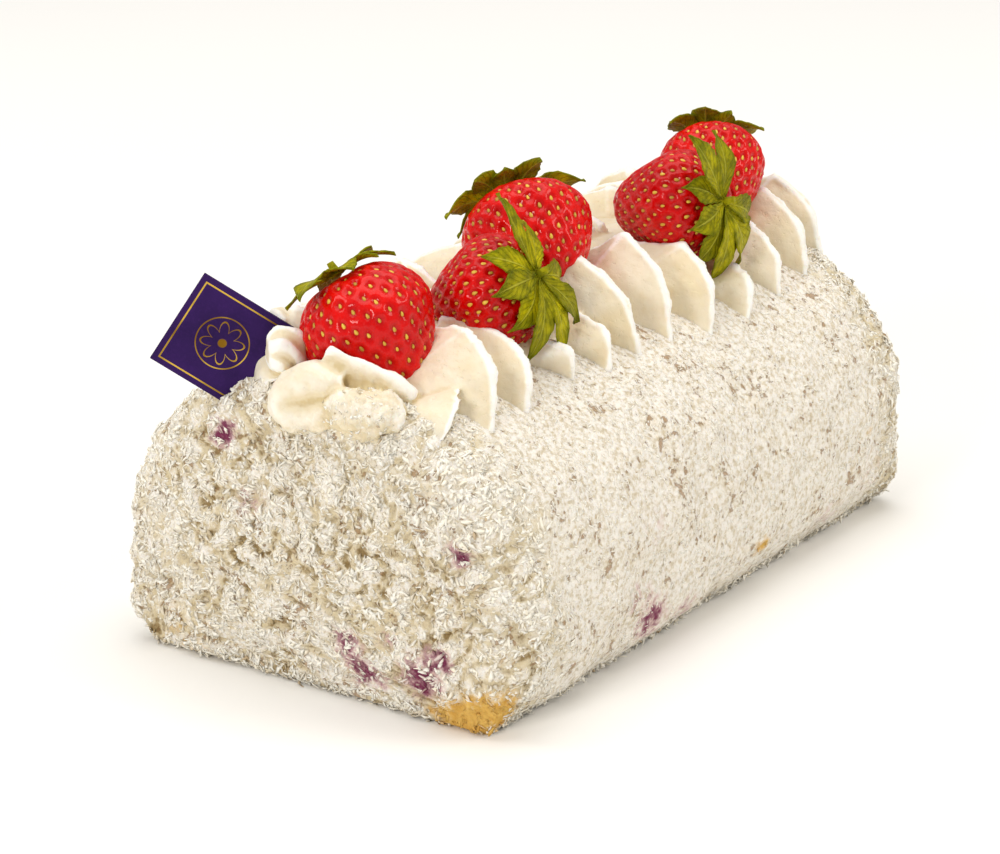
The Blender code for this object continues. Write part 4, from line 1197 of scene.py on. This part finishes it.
def strew(name, ground, weights, count, template, length, width, depth, tilt, roll, bend, lift,
          seed, mat):
    """Many strips laid at random on the ground, as one mesh."""
    rng = np.random.default_rng(seed)
    triangles, normals, _ = ground
    corners, faces = template
    picked = rng.choice(len(triangles), size=count, p=weights / weights.sum())
    a, b = np.sort(rng.random((2, count)), axis=0)
    three = triangles[picked]
    places = three[:, 0] * a[:, None] + three[:, 1] * (b - a)[:, None] + three[:, 2] * (1 - b)[:, None]
    up = normals[picked]
    loose = rng.normal(size=(count, 3))
    flat = unit(loose - up * np.sum(loose * up, axis=1)[:, None])
    side = np.cross(up, flat)
    rise = rng.normal(tilt[0], tilt[1], count)[:, None]
    roll = rng.normal(0.0, roll, count)[:, None]
    ahead = flat * np.cos(rise) + up * np.sin(rise)
    over = up * np.cos(rise) - flat * np.sin(rise)
    wide = side * np.cos(roll) + over * np.sin(roll)
    deep = over * np.cos(roll) - side * np.sin(roll)
    long = rng.uniform(length[0], length[1], count) * rng.uniform(0.7, 1.3, count)
    broad = rng.uniform(width[0], width[1], count)
    thick = broad * rng.uniform(depth[0], depth[1], count)
    curve = rng.normal(0.0, bend, count) * long
    swing = rng.normal(0.0, bend, count) * long
    height = rng.uniform(lift[0], lift[1], count)
    x, y, z = corners[:, 0], corners[:, 1], corners[:, 2]
    arch = 1.0 - 4.0 * x * x
    taper = 1.0 - 0.55 * np.abs(2 * x)
    shape_x = x[None, :] * long[:, None]
    shape_y = (y * taper)[None, :] * broad[:, None] + arch[None, :] * swing[:, None]
    shape_z = (z * taper)[None, :] * thick[:, None] + arch[None, :] * curve[:, None]
    middle = places + up * (height + np.abs(np.sin(rise[:, 0])) * long * 0.3)[:, None]
    points = (middle[:, None, :] + shape_x[:, :, None] * ahead[:, None, :]
              + shape_y[:, :, None] * wide[:, None, :] + shape_z[:, :, None] * deep[:, None, :])
    points[:, :, 2] = np.maximum(points[:, :, 2], 0.0001)
    obj = many(name, points, faces, mat)
    mesh = obj.data
    hollow = np.array(hollows(places))
    soak = patches(places, STAINS) * (0.6 + 1.0 * hollow) - rng.uniform(0.0, 0.75, count)
    # how much painted crease shade each shred gets
    hollow = np.clip(1.3 * hollow - rng.uniform(0.1, 0.5, count), 0, 1)
    golden = 1.5 * patches(places, SPONGE) - rng.uniform(0.0, 1.0, count)
    write_attribute(mesh, "tone", np.repeat(rng.random(count), len(corners)))
    write_attribute(mesh, "hollow", np.repeat(hollow, len(corners)))
    write_attribute(mesh, "stain", np.repeat(np.clip(soak, 0, 1), len(corners)))
    write_attribute(mesh, "sponge", np.repeat(np.clip(golden, 0, 1), len(corners)))
    return obj


def tree_of(obj):
    bm = bmesh.new()
    bm.from_mesh(obj.data)
    tree = BVHTree.FromBMesh(bm)
    bm.free()
    return tree


def open_share(ground, cream):
    """1 for triangles that lie open, 0 for those under the cream or on the underside."""
    triangles, normals, _ = ground
    centres = triangles.mean(axis=1)
    shares = np.ones(len(centres))
    shares[(centres[:, 2] < 0.0006) & (normals[:, 2] < -0.5)] = 0.0
    tree = tree_of(cream)
    for i in np.nonzero(centres[:, 2] > 0.045)[0]:
        probe = Vector(centres[i] + normals[i] * 0.0008)
        place, normal, _, distance = tree.find_nearest(probe)
        if distance < 0.004 and (probe - place).dot(normal) < 0.0:
            shares[i] = 0.0
        elif distance >= 0.004 and probe.z > 0.0745:
            shares[i] = 0.0
    return shares


def ease(low, high, values):
    share = np.clip((values - low) / (high - low), 0.0, 1.0)
    return share * share * (3.0 - 2.0 * share)


def make_coconut(coating, cream, mat):
    """Coarse shreds on the end faces and fine flakes all over."""
    ground = ground_of(coating)
    triangles, normals, areas = ground
    centres = triangles.mean(axis=1)
    x, y = centres[:, 0], centres[:, 1]
    free = areas * open_share(ground, cream)
    thin = 1.0 - 0.75 * patches(centres, SPONGE) - 0.35 * patches(centres, STAINS)
    free = free * np.maximum(thin, 0.05)
    crowd = free * (1.0 - 0.85 * np.array(hollows(centres)))
    near = crowd * ease(-0.076, -0.094, x)
    far = crowd * ease(0.076, 0.094, x)
    foot = free * (centres[:, 2] < 0.004)
    front = free * (1.0 - ease(0.0, 0.006, y)) * (ease(-0.100, -0.092, x) + 0.1)
    back = free * ease(-0.006, 0.0, y) * (ease(-0.100, -0.092, x) + 0.1)
    bent = strip(1)
    plain = strip(0)
    coarse = dict(template=bent, length=(0.0009, 0.0028), width=(0.0005, 0.0017), depth=(0.15, 0.30),
                  tilt=(0.03, 0.12), roll=0.12, bend=0.10, lift=(-0.0002, 0.0001), mat=mat)
    fine = dict(template=plain, length=(0.0007, 0.0018), width=(0.0005, 0.0012), depth=(0.15, 0.35),
                tilt=(0.0, 0.05), roll=0.10, bend=0.0, lift=(-0.0001, 0.0001), mat=mat)
    dust = dict(template=bent, length=(0.0007, 0.0017), width=(0.0006, 0.0014), depth=(0.10, 0.20),
                tilt=(0.0, 0.10), roll=0.10, bend=0.08, lift=(-0.0001, 0.0001), mat=mat)
    fringe = dict(template=bent, length=(0.0010, 0.0030), width=(0.0006, 0.0016), depth=(0.10, 0.25),
                  tilt=(0.25, 0.25), roll=0.25, bend=0.10, lift=(-0.0002, 0.0004), mat=mat)
    piped = ground_of(cream)
    low = piped[2] * ease(0.3, 0.9, patches(piped[0].mean(axis=1), ROUGH))
    made = [
        strew("shreds_near_end", ground, near, 8500, seed=1, **coarse),
        strew("shreds_far_end", ground, far, 8500, seed=2, **coarse),
        strew("flakes_front", ground, front, 9000, seed=3, **fine),
        strew("flakes_back", ground, back, 9000, seed=5, **fine),
        strew("shreds_on_cream", piped, low, 260, seed=6, **dust),
        strew("shreds_at_foot", ground, foot, 2200, seed=7, **fringe),
    ]
    return made


# ------------------------------------------------------------------ floor, light and camera

def make_floor(mat):
    bm = bmesh.new()
    bmesh.ops.create_grid(bm, x_segments=1, y_segments=1, size=3.0)
    floor = object_from("floor", bm, mat, smooth=False)


def make_lamp(name, place, aim, size, power, tint):
    light = bpy.data.lights.new(name, "AREA")
    light.shape = "DISK"
    light.size = size
    light.energy = power
    light.color = tint
    lamp = bpy.data.objects.new(name, light)
    bpy.context.scene.collection.objects.link(lamp)
    lamp.location = place
    lamp.rotation_euler = (Vector(aim) - Vector(place)).to_track_quat("-Z", "Y").to_euler()


def make_light():
    world = bpy.data.worlds.new("studio")
    world.use_nodes = True
    backdrop = world.node_tree.nodes["Background"]
    backdrop.inputs["Color"].default_value = (1.0, 0.985, 0.96, 1.0)
    backdrop.inputs["Strength"].default_value = 0.40
    bpy.context.scene.world = world
    make_lamp("above", (0.25, 0.25, 1.8), (0.25, 0.25, 0), 2.0, 21.0, (1.0, 0.98, 0.95))
    make_lamp("key", (0.45, -0.95, 0.85), (0, 0, 0.05), 0.6, 5.2, (1.0, 0.96, 0.90))
    make_lamp("fill", (-1.2, -0.1, 0.60), (0, 0, 0.05), 0.4, 5.7, (1.0, 0.97, 0.94))
    make_lamp("back", (-0.5, 0.9, 0.9), (0, 0, 0.05), 0.5, 2.5, (1.0, 0.98, 0.95))


def make_camera():
    data = bpy.data.cameras.new("camera")
    data.sensor_width = SENSOR
    data.lens = LENS
    data.clip_start = 0.01
    data.clip_end = 20.0
    camera = bpy.data.objects.new("camera", data)
    bpy.context.scene.collection.objects.link(camera)
    back = Vector((math.sin(HEADING) * math.cos(ELEVATION), -math.cos(HEADING) * math.cos(ELEVATION),
                   math.sin(ELEVATION)))
    camera.location = LOOK_AT + back * DISTANCE
    camera.rotation_euler = back.to_track_quat("Z", "Y").to_euler()
    bpy.context.scene.camera = camera
    bpy.context.scene.view_settings.view_transform = "Standard"


def build():
    coconut = coconut_finish()
    coating = make_coating(coating_finish())
    cream = make_cream(cream_finish())
    pieces = [coating, cream, make_seeds(seed_finish())]
    red = berry_finish()
    green = leaf_finish()
    for index in range(len(BERRIES)):
        pieces.append(make_berry(index, red))
        pieces.append(make_leaves(index, green))
    pieces += make_coconut(coating, cream, coconut)
    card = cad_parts["card"]
    card.data.materials.clear()
    card.data.materials.append(card_finish())
    for piece in pieces:
        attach(piece, "root")
    make_floor(floor_finish())
    make_light()
    make_camera()


build()
